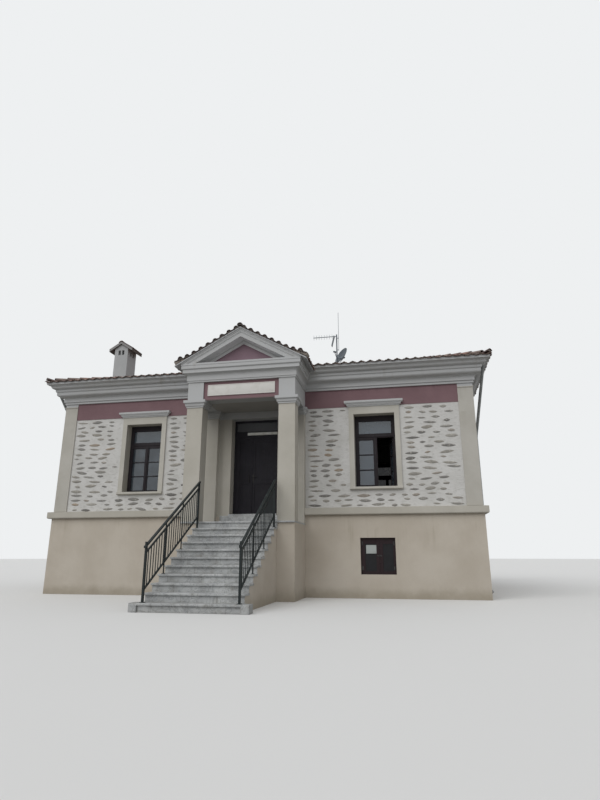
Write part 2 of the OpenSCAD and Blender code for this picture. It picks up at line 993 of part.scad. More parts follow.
// Handrail, second rail, foot rail and upright bars, on posts that stand on the treads
module stair_railings() {
    rail_t = 38;
    flat_w = 34;
    flat_t = 32;
    bar_w = 15;
    stay_w = 22;
    slope = riser / going;
    upper = stair_front - 70;
    post_feet = [[upper, post_w], [stair_front - 3.5 * going, stay_w],
        [stair_front - 6.5 * going, stay_w]];
    bars = floor((upper - foot_y) / bar_pitch);
    nose = porch_floor_h - slope * stair_front;
    color(iron)
        both_sides()
            translate([rail_x, 0, 0]) {
                rail([-rail_w / 2, rail_w / 2], [foot_y - 60, upper + 40],
                    nose + rail_h - rail_t, rail_t, slope);
                for (z = [nose + rail_h - 170, nose + 135])
                    rail([-flat_w / 2, flat_w / 2], [foot_y, upper], z, flat_t, slope);
                for (i = [1:bars - 1]) {
                    y = upper - i * (upper - foot_y) / bars;
                    block([-bar_w / 2, bar_w / 2], [y - bar_w / 2, y + bar_w / 2],
                        [nose + slope * y + 150, nose + slope * y + rail_h - 150]);
                }
                for (p = post_feet)
                    block([-p[1] / 2, p[1] / 2], [p[0] - p[1] / 2, p[0] + p[1] / 2],
                        [step_z(step_at(p[0])), nose + slope * p[0] + rail_h - rail_t / 2]);
                block([-post_w / 2, post_w / 2], [foot_y - post_w / 2, foot_y + post_w / 2],
                    [step_z(steps), nose + slope * foot_y + rail_h + 50]);
            }
}

// A sloping bar between two values of Y; foot is its lower side at Y = 0
module rail(x, y, foot, t, slope) {
    prism_x(x, [[y[0], foot + slope * y[0]], [y[1], foot + slope * y[1]],
        [y[1], foot + t + slope * y[1]], [y[0], foot + t + slope * y[0]]]);
}

// Door

// Jambs, head and the rail under the light, with the fixed knuckles of six hinges
module door_frame() {
    back = door_back + leaf_t;
    color(timber)
        union() {
            difference() {
                block([-door_half, door_half], [door_back, back], [floor_z, door_top]);
                block([-door_half + jamb_w, door_half - jamb_w], [-far, far],
                    [floor_z - 1, rail_z]);
                block([-door_half + jamb_w, door_half - jamb_w], [-far, far],
                    [rail_z + door_rail_h, door_top - jamb_w]);
            }
            both_sides()
                at_hinges()
                    for (z = [-knuckle_h - knuckle_gap, knuckle_h + knuckle_gap])
                        translate([0, 0, z])
                            knuckle(1);
        }
}

module at_hinges() {
    for (z = [leaf_foot + 220, (leaf_foot + leaf_top) / 2, leaf_top - 260])
        translate([hinge_x, hinge_y, z])
            children();
}

// A round knuckle on a plate that lies on the back of the frame or of the leaf
module knuckle(side) {
    plate_t = 3;
    plate_w = 34;
    base = -knuckle_r - 0.5;
    cylinder(r = knuckle_r, h = knuckle_h, $fn = 32);
    if (side > 0)
        block([0, plate_w], [base, base + plate_t], [0, knuckle_h]);
    else
        block([-plate_w, 0], [base, base + plate_t], [0, knuckle_h]);
}

// A leaf from its hinge edge to its meeting edge, with two sunk panels on both faces
module door_leaf(width) {
    stile = 95;
    deep = 12;
    middle = (leaf_top - leaf_foot) * 0.42;
    height = leaf_top - leaf_foot;
    color(timber) {
        difference() {
            block([leaf_edge - width, leaf_edge], [door_back, door_back + leaf_t],
                [leaf_foot, leaf_top]);
            for (z = [[180, middle - 60], [middle + 60, height - stile]])
                for (y = [[-far, door_back + deep], [door_back + leaf_t - deep, far]])
                    block([leaf_edge - width + stile, leaf_edge - stile], y,
                        [leaf_foot + z[0], leaf_foot + z[1]]);
        }
        at_hinges()
            knuckle(-1);
    }
}

// The joint of the two leaves lies left of the middle
module door_leaf_left() {
    mirror([1, 0, 0])
        door_leaf(leaf_edge - joint_off - leaf_gap);
}

module door_leaf_right() {
    door_leaf(leaf_edge + joint_off - leaf_gap);
}

// A long lamp on the rail over the leaves, from its left end to the right jamb
module door_light() {
    lamp_x = -276;
    lamp_h = 82;
    lamp_d = 55;
    ease = 15;
    foot = rail_z + 84;
    face = door_back - lamp_d;
    color("white")
        prism_x([lamp_x, door_half - jamb_w], [[door_back, foot], [door_back, foot + lamp_h],
            [face + ease, foot + lamp_h - ease / 2], [face, foot + ease], [face + ease, foot]]);
}

// Windows

module hood() {
    half = window_w / 2 + surround_w;
    moulded_block([-half, half], [-surround_out, stone_back],
        concat([[0, hood_z], [hood_out * 0.2, hood_z], [hood_out * 0.2, hood_z + 25]],
            s_curve([hood_out * 0.2, hood_z + 25], [hood_out * 0.9, hood_z + 92]),
            [[hood_out, hood_z + 98], [hood_out, hood_z + hood_h - 34],
            [0, hood_z + hood_h]]));
}

// Plaster band, hood and sill of each window in one piece
module window_surrounds() {
    half = window_w / 2 + surround_w;
    ledge_h = 80;
    ledge_out = 60;
    ledge_lap = 6;
    fall = 16;
    lip = 20;
    color(trim)
        at_windows(all_windows)
            union() {
                difference() {
                    block([-half, half], [-surround_out, stone_back], [window_z, hood_z]);
                    block([-window_w / 2, window_w / 2], [-far, far], [0, window_top]);
                }
                hood();
                prism_x([-half - ledge_lap, half + ledge_lap],
                    [[stone_back, window_z - ledge_h], [stone_back, window_z],
                    [-surround_out, window_z], [-ledge_out, window_z - fall],
                    [-ledge_out, window_z - ledge_h + lip],
                    [-ledge_out + 1.5 * lip, window_z - ledge_h]]);
            }
}

light_w = (window_w - 3 * stile_w) / 2;
upper_z = window_top - head_rail - upper_light_h;
casement_top = upper_z - transom_h;
casement_z = window_z + foot_rail;
frame_edge = 45;
sash_t = 42;

// The three lights of a window, each with its middle, width, foot and top: the wide upper one,
// the left casement and, last, the right casement
function lights() = concat([[0, window_w - 2 * stile_w, upper_z, upper_z + upper_light_h]],
    [for (s = [-1, 1]) [s * (stile_w + light_w) / 2, light_w, casement_z, casement_top]]);

module light_hole(l, y) {
    block([l[0] - l[1] / 2, l[0] + l[1] / 2], y, [l[2], l[3]]);
}

module window_frames() {
    color(timber)
        for (w = all_windows)
            at_windows([w])
                difference() {
                    block([-window_w / 2, window_w / 2], [frame_back, frame_back + frame_t],
                        [window_z, window_top]);
                    for (l = lights())
                        light_hole(l, [-far, far]);
                    if (w == open_window)
                        block([stile_w / 2, window_w / 2 - frame_edge], [-far, far],
                            [window_z + foot_rail / 2, casement_top + 50]);
                }
    color(timber)
        open_sash()
            difference() {
                block([0, sash_w()], [0, sash_t], [0, sash_h()]);
                block([sash_edge(), sash_w() - sash_edge()], [-far, far],
                    [foot_rail / 2, foot_rail / 2 + casement_top - casement_z]);
            }
}

function sash_w() = window_w / 2 - frame_edge - stile_w / 2 - 4;
function sash_h() = casement_top + 50 - window_z - foot_rail / 2 - 8;
function sash_edge() = (sash_w() - light_w) / 2;

// The open casement hangs on the inner edge of its jamb
module open_sash() {
    at_windows([open_window])
        translate([window_w / 2 - frame_edge, frame_back + frame_t, window_z + foot_rail / 2 + 4])
            rotate([0, 0, 180 - open_sash_turn])
                children();
}

module window_glass() {
    mid = frame_back + frame_t / 2;
    color(pane) {
        for (w = all_windows)
            at_windows([w])
                for (i = [0:w == open_window ? 1 : 2])
                    light_hole(lights()[i], [mid - glass_t / 2, mid + glass_t / 2]);
        open_sash()
            block([sash_edge(), sash_w() - sash_edge()],
                [sash_t / 2 - glass_t / 2, sash_t / 2 + glass_t / 2],
                [foot_rail / 2, foot_rail / 2 + casement_top - casement_z]);
        block([-door_half + jamb_w, door_half - jamb_w],
            [door_back + leaf_t / 2 - glass_t / 2, door_back + leaf_t / 2 + glass_t / 2],
            [rail_z + door_rail_h, door_top - jamb_w]);
    }
}

// Downpipes: from under the cornice at the front corners back to the side walls and down
module pipe(a, b, r) {
    d = b - a;
    translate(a)
        rotate([0, acos(d[2] / norm(d)), atan2(d[1], d[0])])
            cylinder(r = r, h = norm(d), $fn = 24);
}

module downpipes() {
    r = 40;
    pipe_x = half_w + belt_out + r + 6;
    pipe_y = 1480;
    strap_y = [pipe_y - 12, pipe_y + 12];
    strap_h = 30;
    bend = [pipe_x, pipe_y, frieze_z - 675];
    inlet = [half_w + cornice_out * 0.71, -95, cornice_z + 515];
    foot = [pipe_x, pipe_y, 160];
    color(metal)
        both_sides()
            difference() {
                union() {
                    pipe(inlet, bend, r);
                    translate(bend)
                        sphere(r = r + 4, $fn = 24);
                    pipe(foot, bend, r);
                    translate(foot)
                        sphere(r = r + 4, $fn = 24);
                    pipe(foot, foot + [70, 0, -80], r);
                    for (z = [basement_h + belt_h + 500, frieze_z - 800])
                        block([half_w - stone_back, pipe_x], strap_y, [z, z + strap_h]);
                    block([half_w + basement_out, pipe_x], strap_y, [600, 600 + strap_h]);
                }
                round_building(cornice_profile());
            }
}

basement_front_wall();
basement_back_wall();
basement_left_wall();
basement_right_wall();
belt_course();
main_floor();
front_wall_left();
front_wall_right();
wall_over_door();
back_wall();
left_wall();
right_wall();
corner_pilasters();
frieze_band();
cornice_front();
cornice_sides();
cornice_back();
ceiling();
roof_front_slope();
roof_back_slope();
roof_hip_ends();
chimney_stack();
chimney_cap();
roof_aerials();
porch_podium();
door_step();
porch_piers();
porch_entablature_front();
porch_entablature_sides();
pediment_wall();
raking_cornice();
porch_ceiling();
porch_roof();
stair_core();
stair_treads();
stair_railings();
door_frame();
door_leaf_left();
door_leaf_right();
door_light();
window_surrounds();
window_frames();
window_glass();
basement_shutters();
downpipes();
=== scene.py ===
import math
import random

import bmesh
import bpy
from mathutils import Matrix, Vector


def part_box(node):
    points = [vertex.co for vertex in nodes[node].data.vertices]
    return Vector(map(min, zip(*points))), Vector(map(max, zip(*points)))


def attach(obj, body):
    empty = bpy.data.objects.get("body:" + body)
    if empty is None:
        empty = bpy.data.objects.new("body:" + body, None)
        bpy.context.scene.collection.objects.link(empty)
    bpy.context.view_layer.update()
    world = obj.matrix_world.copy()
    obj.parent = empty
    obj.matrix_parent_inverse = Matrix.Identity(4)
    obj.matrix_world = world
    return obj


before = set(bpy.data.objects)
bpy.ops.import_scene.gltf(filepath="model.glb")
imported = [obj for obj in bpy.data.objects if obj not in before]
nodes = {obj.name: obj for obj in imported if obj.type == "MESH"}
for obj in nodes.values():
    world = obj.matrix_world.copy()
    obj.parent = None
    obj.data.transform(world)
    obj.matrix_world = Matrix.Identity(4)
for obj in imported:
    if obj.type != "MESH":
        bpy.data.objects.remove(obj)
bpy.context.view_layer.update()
print("frame loaded,", len(nodes), "nodes")


# Colours are written as screen colours and turned into linear ones
def tone(code):
    parts = [int(code[i:i + 2], 16) / 255 for i in (1, 3, 5)]
    linear = [p / 12.92 if p <= 0.04045 else ((p + 0.055) / 1.055) ** 2.4 for p in parts]
    return (*linear, 1.0)


# Makes a method that adds a Math node; the reflected forms take their values in turned order
def sums(operation, reflected=False):
    def combine(self, *others):
        values = (*others, self) if reflected else (self, *others)
        return self.graph.node("ShaderNodeMath", {"operation": operation}, dict(enumerate(values)))
    return combine


# A node's output that can stand in a sum
class Wire:
    def __init__(self, graph, socket):
        self.graph = graph
        self.socket = socket

    __add__ = sums("ADD")
    __radd__ = sums("ADD", reflected=True)
    __sub__ = sums("SUBTRACT")
    __rsub__ = sums("SUBTRACT", reflected=True)
    __mul__ = sums("MULTIPLY")
    __rmul__ = sums("MULTIPLY", reflected=True)
    __truediv__ = sums("DIVIDE")
    __mod__ = sums("FLOORED_MODULO")
    __gt__ = sums("GREATER_THAN")
    __lt__ = sums("LESS_THAN")
    __abs__ = sums("ABSOLUTE")
    floor = sums("FLOOR")
    highest = sums("MAXIMUM")

    # The first value where this is 0, and the second where it is 1
    def blend(self, first, second):
        return first * (1.0 - self) + second * self

    # Another output of the same node
    def sibling(self, out):
        return Wire(self.graph, self.socket.node.outputs[out])

    # 0 at the first value and 1 at the second, with a soft run between them
    def ramp(self, start, end):
        settings = {"interpolation_type": "SMOOTHSTEP"}
        rising = start < end
        ends = {"From Min": min(start, end), "From Max": max(start, end)}
        result = {"To Min": 0.0 if rising else 1.0, "To Max": 1.0 if rising else 0.0}
        return self.graph.node("ShaderNodeMapRange", settings, {"Value": self, **ends, **result})


# Makes the nodes of a material or of the world
class Graph:
    def __init__(self, owner):
        owner.use_nodes = True
        self.tree = owner.node_tree
        self.tree.nodes.clear()

    def node(self, kind, settings=None, inputs=None, out=0):
        made = self.tree.nodes.new(kind)
        for key, value in (settings or {}).items():
            if key == "stops":
                stops = made.color_ramp.elements
                while len(stops) < len(value):
                    stops.new(0.5)
                for stop, (place, code) in zip(stops, value):
                    stop.position = place
                    stop.color = tone(code)
            else:
                setattr(made, key, value)
        for key, value in (inputs or {}).items():
            if isinstance(value, Wire):
                self.tree.links.new(value.socket, made.inputs[key])
            else:
                made.inputs[key].default_value = value
        return Wire(self, made.outputs[out]) if made.outputs else None

    # 1 for rays from the camera, in a mirror or through glass, and 0 for the light on the object
    def seenDirectly(self):
        camera = self.node("ShaderNodeLightPath", out="Is Camera Ray")
        mirror = camera.sibling("Is Glossy Ray")
        return camera.highest(mirror).highest(camera.sibling("Is Transmission Ray"))


# A material under work
class Paint(Graph):
    def __init__(self, name):
        self.material = bpy.data.materials.new(name)
        super().__init__(self.material)
        self.spot = self.node("ShaderNodeTexCoord", out="Object")
        self.x = self.node("ShaderNodeSeparateXYZ", inputs={0: self.spot})
        self.y = self.x.sibling("Y")
        self.z = self.x.sibling("Z")

    # How far the surface faces along an axis, from -1 to 1
    def faces(self, axis):
        return self.node("ShaderNodeSeparateXYZ", inputs={0: self.spot.sibling("Normal")}, out=axis)

    def noise(self, scale, detail=3.0, rough=0.55, stretch=None, warp=0.0, shift=0.0):
        place = self.spot
        if stretch or shift:
            ends = {"Scale": stretch or (1, 1, 1), "Location": (shift, shift, shift)}
            place = self.node("ShaderNodeMapping", inputs={"Vector": place, **ends})
        values = {"Scale": scale, "Detail": detail, "Roughness": rough, "Distortion": warp}
        return self.node("ShaderNodeTexNoise", inputs={"Vector": place, **values})

    def cells(self, scale):
        return self.node("ShaderNodeTexVoronoi", inputs={"Vector": self.spot, "Scale": scale})

    def attribute(self, name):
        return self.node("ShaderNodeAttribute", {"attribute_name": name}, out="Fac")

    def colours(self, value, stops):
        return self.node("ShaderNodeValToRGB", {"stops": stops}, {"Fac": value})

    def mix(self, share, first, second):
        first, second = [tone(end) if isinstance(end, str) else end for end in (first, second)]
        ends = {0: share, 6: first, 7: second}
        return self.node("ShaderNodeMix", {"data_type": "RGBA"}, ends, out=2)

    # The finished surface; what is the same all over stands in the shader's own sockets
    def finish(self, colour, roughness, height=None, **fixed):
        values = {"Base Color": colour, "Roughness": roughness}
        values.update({key.replace("_", " "): value for key, value in fixed.items()})
        if height is not None:
            relief = {"Strength": 1.0, "Distance": 1.0, "Height": height}
            values["Normal"] = self.node("ShaderNodeBump", inputs=relief)
        shader = self.node("ShaderNodeBsdfPrincipled", inputs=values)
        self.node("ShaderNodeOutputMaterial", inputs={"Surface": shader})
        return self.material


# Where things stand, taken from the frame
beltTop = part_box("belt_course")[1].z
friezeLow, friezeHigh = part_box("frieze_band")
surroundLow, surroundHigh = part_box("window_surrounds")
roofLow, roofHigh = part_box("roof_front_slope")
hipLow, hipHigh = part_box("roof_hip_ends")
porchRoofLow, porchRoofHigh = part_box("porch_roof")

house = {
    "halfFront": 6.0,
    "depth": 9.0,
    "stoneBack": 0.03,
    "pilasterWidth": 0.4,
    "windowX": 3.354,
    "windowHalf": 0.549,
    "surround": 0.135,
    "sideWindows": (2.5, 6.5),
    "porchHalf": 1.455,
    "pierInner": 1.025,
    "porchFloor": 1.84,
    "riser": 1.84 / 11,
    "going": 0.283,
    "stairSide": 1.015,
}


def addObject(name, data):
    made = bpy.data.objects.new(name, data)
    bpy.context.scene.collection.objects.link(made)
    return made


def toMesh(bm, name):
    mesh = bpy.data.meshes.new(name)
    bm.to_mesh(mesh)
    bm.free()
    return mesh


# Camera, lights and floor

view = {
    "place": (4.117, -14.447, 1.05),
    "up": 15.91,
    "left": 10.99,
    "sensor": 36.0,
    "lens": 24.43,
    "reach": 400.0,
}

light = {
    "sky": 0.62,
    "skyTone": "#fbfcff",
    "backdrop": "#eef0f1",
    "sun": 1.35,
    "sunSpread": 55.0,
    "sunFrom": (-0.35, -0.80, 0.80),
}

ground = {
    "radius": 150.0,
    "middle": (0, 4, -0.002),
    "base": "#dcdcda",
    "patch": "#d0d0cd",
    "bounce": "#8c8a86",
}


def makeCamera():
    data = bpy.data.cameras.new("camera")
    data.sensor_width = view["sensor"]
    data.lens = view["lens"]
    data.clip_end = view["reach"]
    camera = addObject("camera", data)
    camera.location = view["place"]
    camera.rotation_euler = (math.radians(90 + view["up"]), 0.0, math.radians(view["left"]))
    bpy.context.scene.camera = camera


# The backdrop is only for the eye; a plain soft sky and a wide sun light the object
def makeLight():
    world = bpy.data.worlds.new("studio")
    bpy.context.scene.world = world
    sky = Graph(world)
    dome = {"Color": tone(light["skyTone"]), "Strength": light["sky"]}
    backdrop = {"Color": tone(light["backdrop"]), "Strength": 1.0}
    ends = {
        0: sky.seenDirectly(),
        1: sky.node("ShaderNodeBackground", inputs=dome),
        2: sky.node("ShaderNodeBackground", inputs=backdrop),
    }
    blend = sky.node("ShaderNodeMixShader", inputs=ends)
    sky.node("ShaderNodeOutputWorld", inputs={"Surface": blend})
    data = bpy.data.lights.new("softSun", "SUN")
    data.energy = light["sun"]
    data.angle = math.radians(light["sunSpread"])
    lamp = addObject("softSun", data)
    lamp.rotation_euler = Vector(light["sunFrom"]).to_track_quat("Z", "Y").to_euler()


def makeFloor():
    bm = bmesh.new()
    bmesh.ops.create_circle(bm, cap_ends=True, segments=64, radius=ground["radius"])
    bmesh.ops.translate(bm, verts=bm.verts, vec=ground["middle"])
    mesh = toMesh(bm, "floor")
    paint = Paint("floor")
    shade = paint.mix(paint.noise(0.4, 2.0) * 0.1, ground["base"], ground["patch"])
    shade = paint.mix(paint.seenDirectly(), ground["bounce"], shade)
    mesh.materials.append(paint.finish(shade, 0.9))
    addObject("floor", mesh)


makeCamera()
makeLight()
makeFloor()
print("camera, light and floor are in place")

# Finishes

plaster = {
    "base": "#b1ada2",
    "pale": "#bdb9af",
    "stain": "#8c8577",
    "stainShare": 0.45,
    "soil": "#77705f",
    "soilShare": 0.35,
    "grain": 0.0008,
    "trowel": 0.004,
    "ledges": (6.06, 5.475, 4.70, 2.70, 2.05),  # where the streaks start
    "run": 0.55,
    "crown": "#b5b8bb",  # the whiter paint from crownFoot upward
    "crownFoot": 4.775,
    # a whiter paint for downward faces above crownFoot, where set: painted light
    "undersideLight": None,
}

beige = dict(plaster, base="#b8afa1", pale="#c3bbae", stain="#91866f", soil="#857b66",
             stainShare=0.35, soilShare=0.5, ledges=(2.05, 1.80), run=0.9)
dustyRed = dict(plaster, base="#765c60", pale="#81666a", stain="#57464a", soil="#634f53",
                stainShare=0.4, soilShare=0.2, ledges=(5.475,), run=0.3, crown=None)
# A lighter red in the gable's sunk triangle: painted light against the shade of its recess
gableRedPaintedLight = dict(dustyRed, base="#87707a", pale="#927b84")
# The gable wall is painted whiter still: painted light against the shade of its recess
gableWallPaintedLight = dict(plaster, crown="#d4d6d9")
flue = dict(plaster, base="#a8aaaa", pale="#b4b6b6", soilShare=0.2, crown=None)

plasters = {
    "trimPlaster": plaster,
    "roomPlaster": dict(plaster, base="#cbc7bc", pale="#d4d0c6", stainShare=0.12, soilShare=0.1),
    # The porch ceiling is painted darker: painted shade
    "soffitPlaster": dict(plaster, base="#97948e", pale="#a09d98", stainShare=0.3, crown=None),
    "chimneyPlaster": flue,
    # Painted light on the undersides of the raking cornice and of the window hoods
    "rakingPlaster": dict(plaster, undersideLight="#d9dbdd"),
    "surroundPlaster": dict(plaster, base="#b5b2a8", pale="#c1beb5", crownFoot=4.962,
                            undersideLight="#dcdee0"),
    "pilasterPlaster": dict(plaster, base="#afaca3", pale="#bbb8b0", crownFoot=5.39),
    "beigeRender": beige,
    "dustyRedRender": dustyRed,
}

# Painted shade: inside the porch the plaster is painted darker towards the ceiling
porchPaintedShade = {"tone": "#57544f", "foot": 3.9, "full": 4.95, "top": 5.0, "front": -1.38, "back": 0.4}


# Plaster in two close tones, with streaks below ledges, soil near the ground and a trowelled
# face; the capitals, hoods and cornices are painted a little whiter, with painted light on some
# undersides and painted shade at the top of the porch
def plasterLayers(paint, look):
    cloud = paint.noise(0.7, 4.0, 0.6)
    colour = paint.mix(cloud.ramp(0.35, 0.7), look["base"], look["pale"])
    if look["crown"]:
        above = paint.z.ramp(look["crownFoot"] - 0.01, look["crownFoot"] + 0.01)
        colour = paint.mix(above * (0.55 + cloud * 0.4), colour, look["crown"])
        if look["undersideLight"]:
            # Painted light: the undersides of the mouldings are painted whiter, against their shade
            below = paint.faces("Z").ramp(-0.4, -0.8)
            colour = paint.mix(above * below * (0.85 + cloud * 0.15), colour, look["undersideLight"])
    speck = paint.noise(38.0, 2.0, 0.6, shift=3.0)
    colour = paint.mix(speck.ramp(0.62, 0.8) * 0.22, colour, look["stain"])
    runs = paint.noise(1.0, 3.0, 0.62, stretch=(7.0, 7.0, 0.45), shift=1.7).ramp(0.5, 0.72)
    under = None
    for ledge in look["ledges"]:
        near = paint.z.ramp(ledge - look["run"], ledge) * (paint.z < ledge + 0.002)
        under = near if under is None else under.highest(near)
    patch = paint.noise(1.3, 3.0, 0.6, shift=5.0).ramp(0.42, 0.66)
    colour = paint.mix(runs * under * patch * look["stainShare"], colour, look["stain"])
    damp = paint.z.ramp(0.5, 0.0) + paint.noise(2.2, 4.0, 0.65, shift=8.0) * 0.9
    colour = paint.mix(damp.ramp(0.8, 1.6) * look["soilShare"], colour, look["soil"])
    # Painted shade under the porch ceiling, darker the higher it is
    sootAndShade = porchPaintedShade
    porch = (abs(paint.x) < house["porchHalf"] - 0.01) * (paint.y > sootAndShade["front"])
    porch = porch * (paint.y < sootAndShade["back"]) * (paint.z < sootAndShade["top"])
    porchShadeShare = paint.z.ramp(sootAndShade["foot"], sootAndShade["full"]) * porch
    colour = paint.mix(porchShadeShare * (0.25 + cloud * 0.3), colour, sootAndShade["tone"])
    dust = paint.noise(3.0, 4.0, 0.6, shift=2.4).ramp(0.3, 0.75)
    colour = paint.mix(paint.faces("Z").ramp(0.45, 0.85) * dust * 0.45, colour, look["soil"])
    trowel = paint.noise(5.5, 3.0, 0.5) * look["trowel"]
    grain = paint.noise(120.0, 2.0, 0.7) * look["grain"]
    return colour, trowel + grain, 0.82 + speck * 0.12


def plasterPaint(name, look):
    paint = Paint(name)
    colour, height, roughness = plasterLayers(paint, look)
    paint.finish(colour, roughness, height)


# The same plaster with a red field where a test on the place says so
def panelPaint(name, field, look, around):
    paint = Paint(name)
    pale, height, roughness = plasterLayers(paint, around)
    red = plasterLayers(paint, look)[0]
    paint.finish(paint.mix(field(paint), pale, red), roughness, height)


beamPanel = {"front": -1.376, "back": -1.35, "slack": 0.001}


# The sunk panel between the piers, down to the beam's lower edge
def beamField(paint):
    slack = beamPanel["slack"]
    inside = (abs(paint.x) < house["pierInner"] + slack) * (paint.z < friezeHigh.z - slack)
    return inside * (paint.y > beamPanel["front"]) * (paint.y < beamPanel["back"])


gable = {"foot": 6.027, "top": 6.542, "slope": 0.55, "face": -1.25, "sunk": -1.22, "slack": 0.003}


# The sunk triangle in the gable wall
def gableField(paint):
    slack = gable["slack"]
    under = paint.z + abs(paint.x) * gable["slope"] < gable["top"] + slack
    sunk = (paint.y > gable["face"] + slack) * (paint.y < gable["sunk"] + slack)
    return under * sunk * (paint.z > gable["foot"] - slack)


mortarLook = {
    "base": "#c4c3bf",
    "pale": "#cfcecb",
    "shade": "#a8a6a0",
    "trowel": 0.010,
    "coarse": 0.004,
    "grit": 0.0016,
    "slack": 0.004,
    "porchBack": 1.0,
}


# Thick lime mortar between the stones outside, smooth plaster in the porch, in the openings
# and on the rooms' side
def mortarPaint():
    look = mortarLook
    paint = Paint("limeMortar")
    cloud = paint.noise(1.6, 4.0, 0.6)
    mortar = paint.mix(cloud.ramp(0.3, 0.7), look["base"], look["pale"])
    hollow = paint.noise(9.0, 3.0, 0.6, stretch=(1.0, 1.0, 1.9), shift=4.0)
    mortar = paint.mix(hollow.ramp(0.5, 0.78) * 0.55, mortar, look["shade"])
    grit = paint.noise(60.0, 2.0, 0.7, shift=6.0)
    mortar = paint.mix(grit.ramp(0.6, 0.8) * 0.3, mortar, look["shade"])
    smooth, smoothHeight, _ = plasterLayers(paint, plaster)
    skin = house["stoneBack"] + look["slack"]
    middle = house["depth"] / 2
    faceX = abs(paint.x) - (house["halfFront"] - skin)
    faceY = abs(paint.y - middle) - (middle - skin)
    outside = faceX.highest(faceY) > 0.0
    porch = (abs(paint.x) < house["porchHalf"] + look["slack"]) * (paint.y < look["porchBack"])
    share = outside * (1.0 - porch)
    coarse = paint.noise(22.0, 3.0, 0.6) * look["coarse"]
    rough = hollow * look["trowel"] + coarse + grit * look["grit"]
    height = share.blend(smoothHeight, rough)
    paint.finish(paint.mix(share, smooth, mortar), 0.86 + grit * 0.1, height)


stoneLook = {
    "tones": [(0.0, "#686663"), (0.1, "#807e7a"), (0.4, "#918f8a"), (0.7, "#97938a"),
              (0.86, "#a3a099"), (0.97, "#948b80"), (1.0, "#a0907c")],
    "cloud": "#6b6966",
    "vein": "#b9b4a8",
    "smear": "#c4c0b5",
}


# Field stones: each one has its own tone, with mortar smeared over it
def stonePaint():
    look = stoneLook
    paint = Paint("fieldStone")
    base = paint.colours(paint.attribute("tone"), look["tones"])
    cloud = paint.noise(14.0, 4.0, 0.65)
    colour = paint.mix(cloud.ramp(0.35, 0.75) * 0.35, base, look["cloud"])
    veins = paint.noise(9.0, 5.0, 0.7, stretch=(1.0, 1.0, 3.0), warp=1.2)
    colour = paint.mix(veins.ramp(0.56, 0.72) * 0.35, colour, look["vein"])
    smear = paint.noise(24.0, 3.0, 0.6, shift=7.0)
    colour = paint.mix(smear.ramp(0.55, 0.72) * 0.7, colour, look["smear"])
    height = cloud * 0.006 + paint.noise(70.0, 3.0, 0.7) * 0.002
    paint.finish(colour, 0.78 + cloud * 0.15, height)


clayLook = {
    "tones": [(0.0, "#473d3d"), (0.12, "#574a49"), (0.3, "#7a635e"), (0.5, "#8c7065"),
              (0.75, "#967d72"), (0.9, "#9b8b82"), (1.0, "#786962")],
    "cloud": "#5c504c",
    "lichen": "#96938d",
    "speck": "#4a3a35",
    "end": "#544b49",
}


# Fired clay tiles with soot, grey lichen and darker lower ends
def clayPaint():
    look = clayLook
    paint = Paint("clayTile")
    base = paint.colours(paint.attribute("tone"), look["tones"])
    cloud = paint.noise(3.0, 4.0, 0.6)
    colour = paint.mix(cloud.ramp(0.42, 0.7) * 0.5, base, look["cloud"])
    lichen = paint.cells(26.0) + paint.noise(11.0, 3.0, 0.7) * 0.6
    colour = paint.mix(lichen.ramp(0.56, 0.42) * 0.55, colour, look["lichen"])
    speck = paint.noise(75.0, 2.0, 0.7, shift=2.0)
    colour = paint.mix(speck.ramp(0.58, 0.75) * 0.35, colour, look["speck"])
    colour = paint.mix(paint.attribute("end").ramp(0.75, 1.0) * 0.5, colour, look["end"])
    height = speck * 0.0012 + paint.noise(18.0, 3.0, 0.6) * 0.003
    paint.finish(colour, 0.8 + speck * 0.12, height)


beddingLook = {"base": "#857c73", "pale": "#968e85", "patch": "#5d5450", "sootAndShade": "#3f3735"}


# Mortar under the tiles: on the roof's slabs, on the chimney's slab and round the tile ends
def beddingPaint(name, where):
    look = beddingLook
    paint = Paint(name)
    cloud = paint.noise(2.4, 4.0, 0.6)
    colour = paint.mix(cloud.ramp(0.35, 0.7), look["base"], look["pale"])
    # Dark patches of soot on the mortar
    sootAndShade = paint.noise(9.0, 4.0, 0.65, shift=3.0)
    colour = paint.mix(sootAndShade.ramp(0.5, 0.78) * 0.6, colour, look["patch"])
    if where == "roof":
        # The slabs' edges and undersides are painted like the cornice
        under = paint.faces("Z").ramp(0.6, 0.3)
        colour = paint.mix(under * (1.0 - sootAndShade * 0.5), colour, plaster["crown"])
    elif where == "chimney":
        # This slab is sooted, but for the two ends under its gables
        ends = abs(paint.faces("Y")).ramp(0.4, 0.7)
        colour = paint.mix(ends * 0.55, paint.mix(0.75, colour, look["sootAndShade"]), flue["base"])
    else:
        # The pieces with a low tone, the plugs at the verge, are made darker
        dark = paint.attribute("tone").ramp(0.3, 0.0)
        colour = paint.mix(dark * 0.75, colour, look["sootAndShade"])
    height = paint.noise(30.0, 3.0, 0.65) * 0.004 + sootAndShade * 0.003
    paint.finish(colour, 0.88 + sootAndShade * 0.1, height)


marbleLook = {
    "base": "#a2a4a4",
    "pale": "#b8bab9",
    "vein": "#6f7273",
    "dirt": "#6f6b60",
    "joint": "#5e5a52",
    "creaseDirtAndShade": "#6a655a",
    "slab": 0.74,
    "jointShare": 0.007,
    "stagger": 0.37,
}
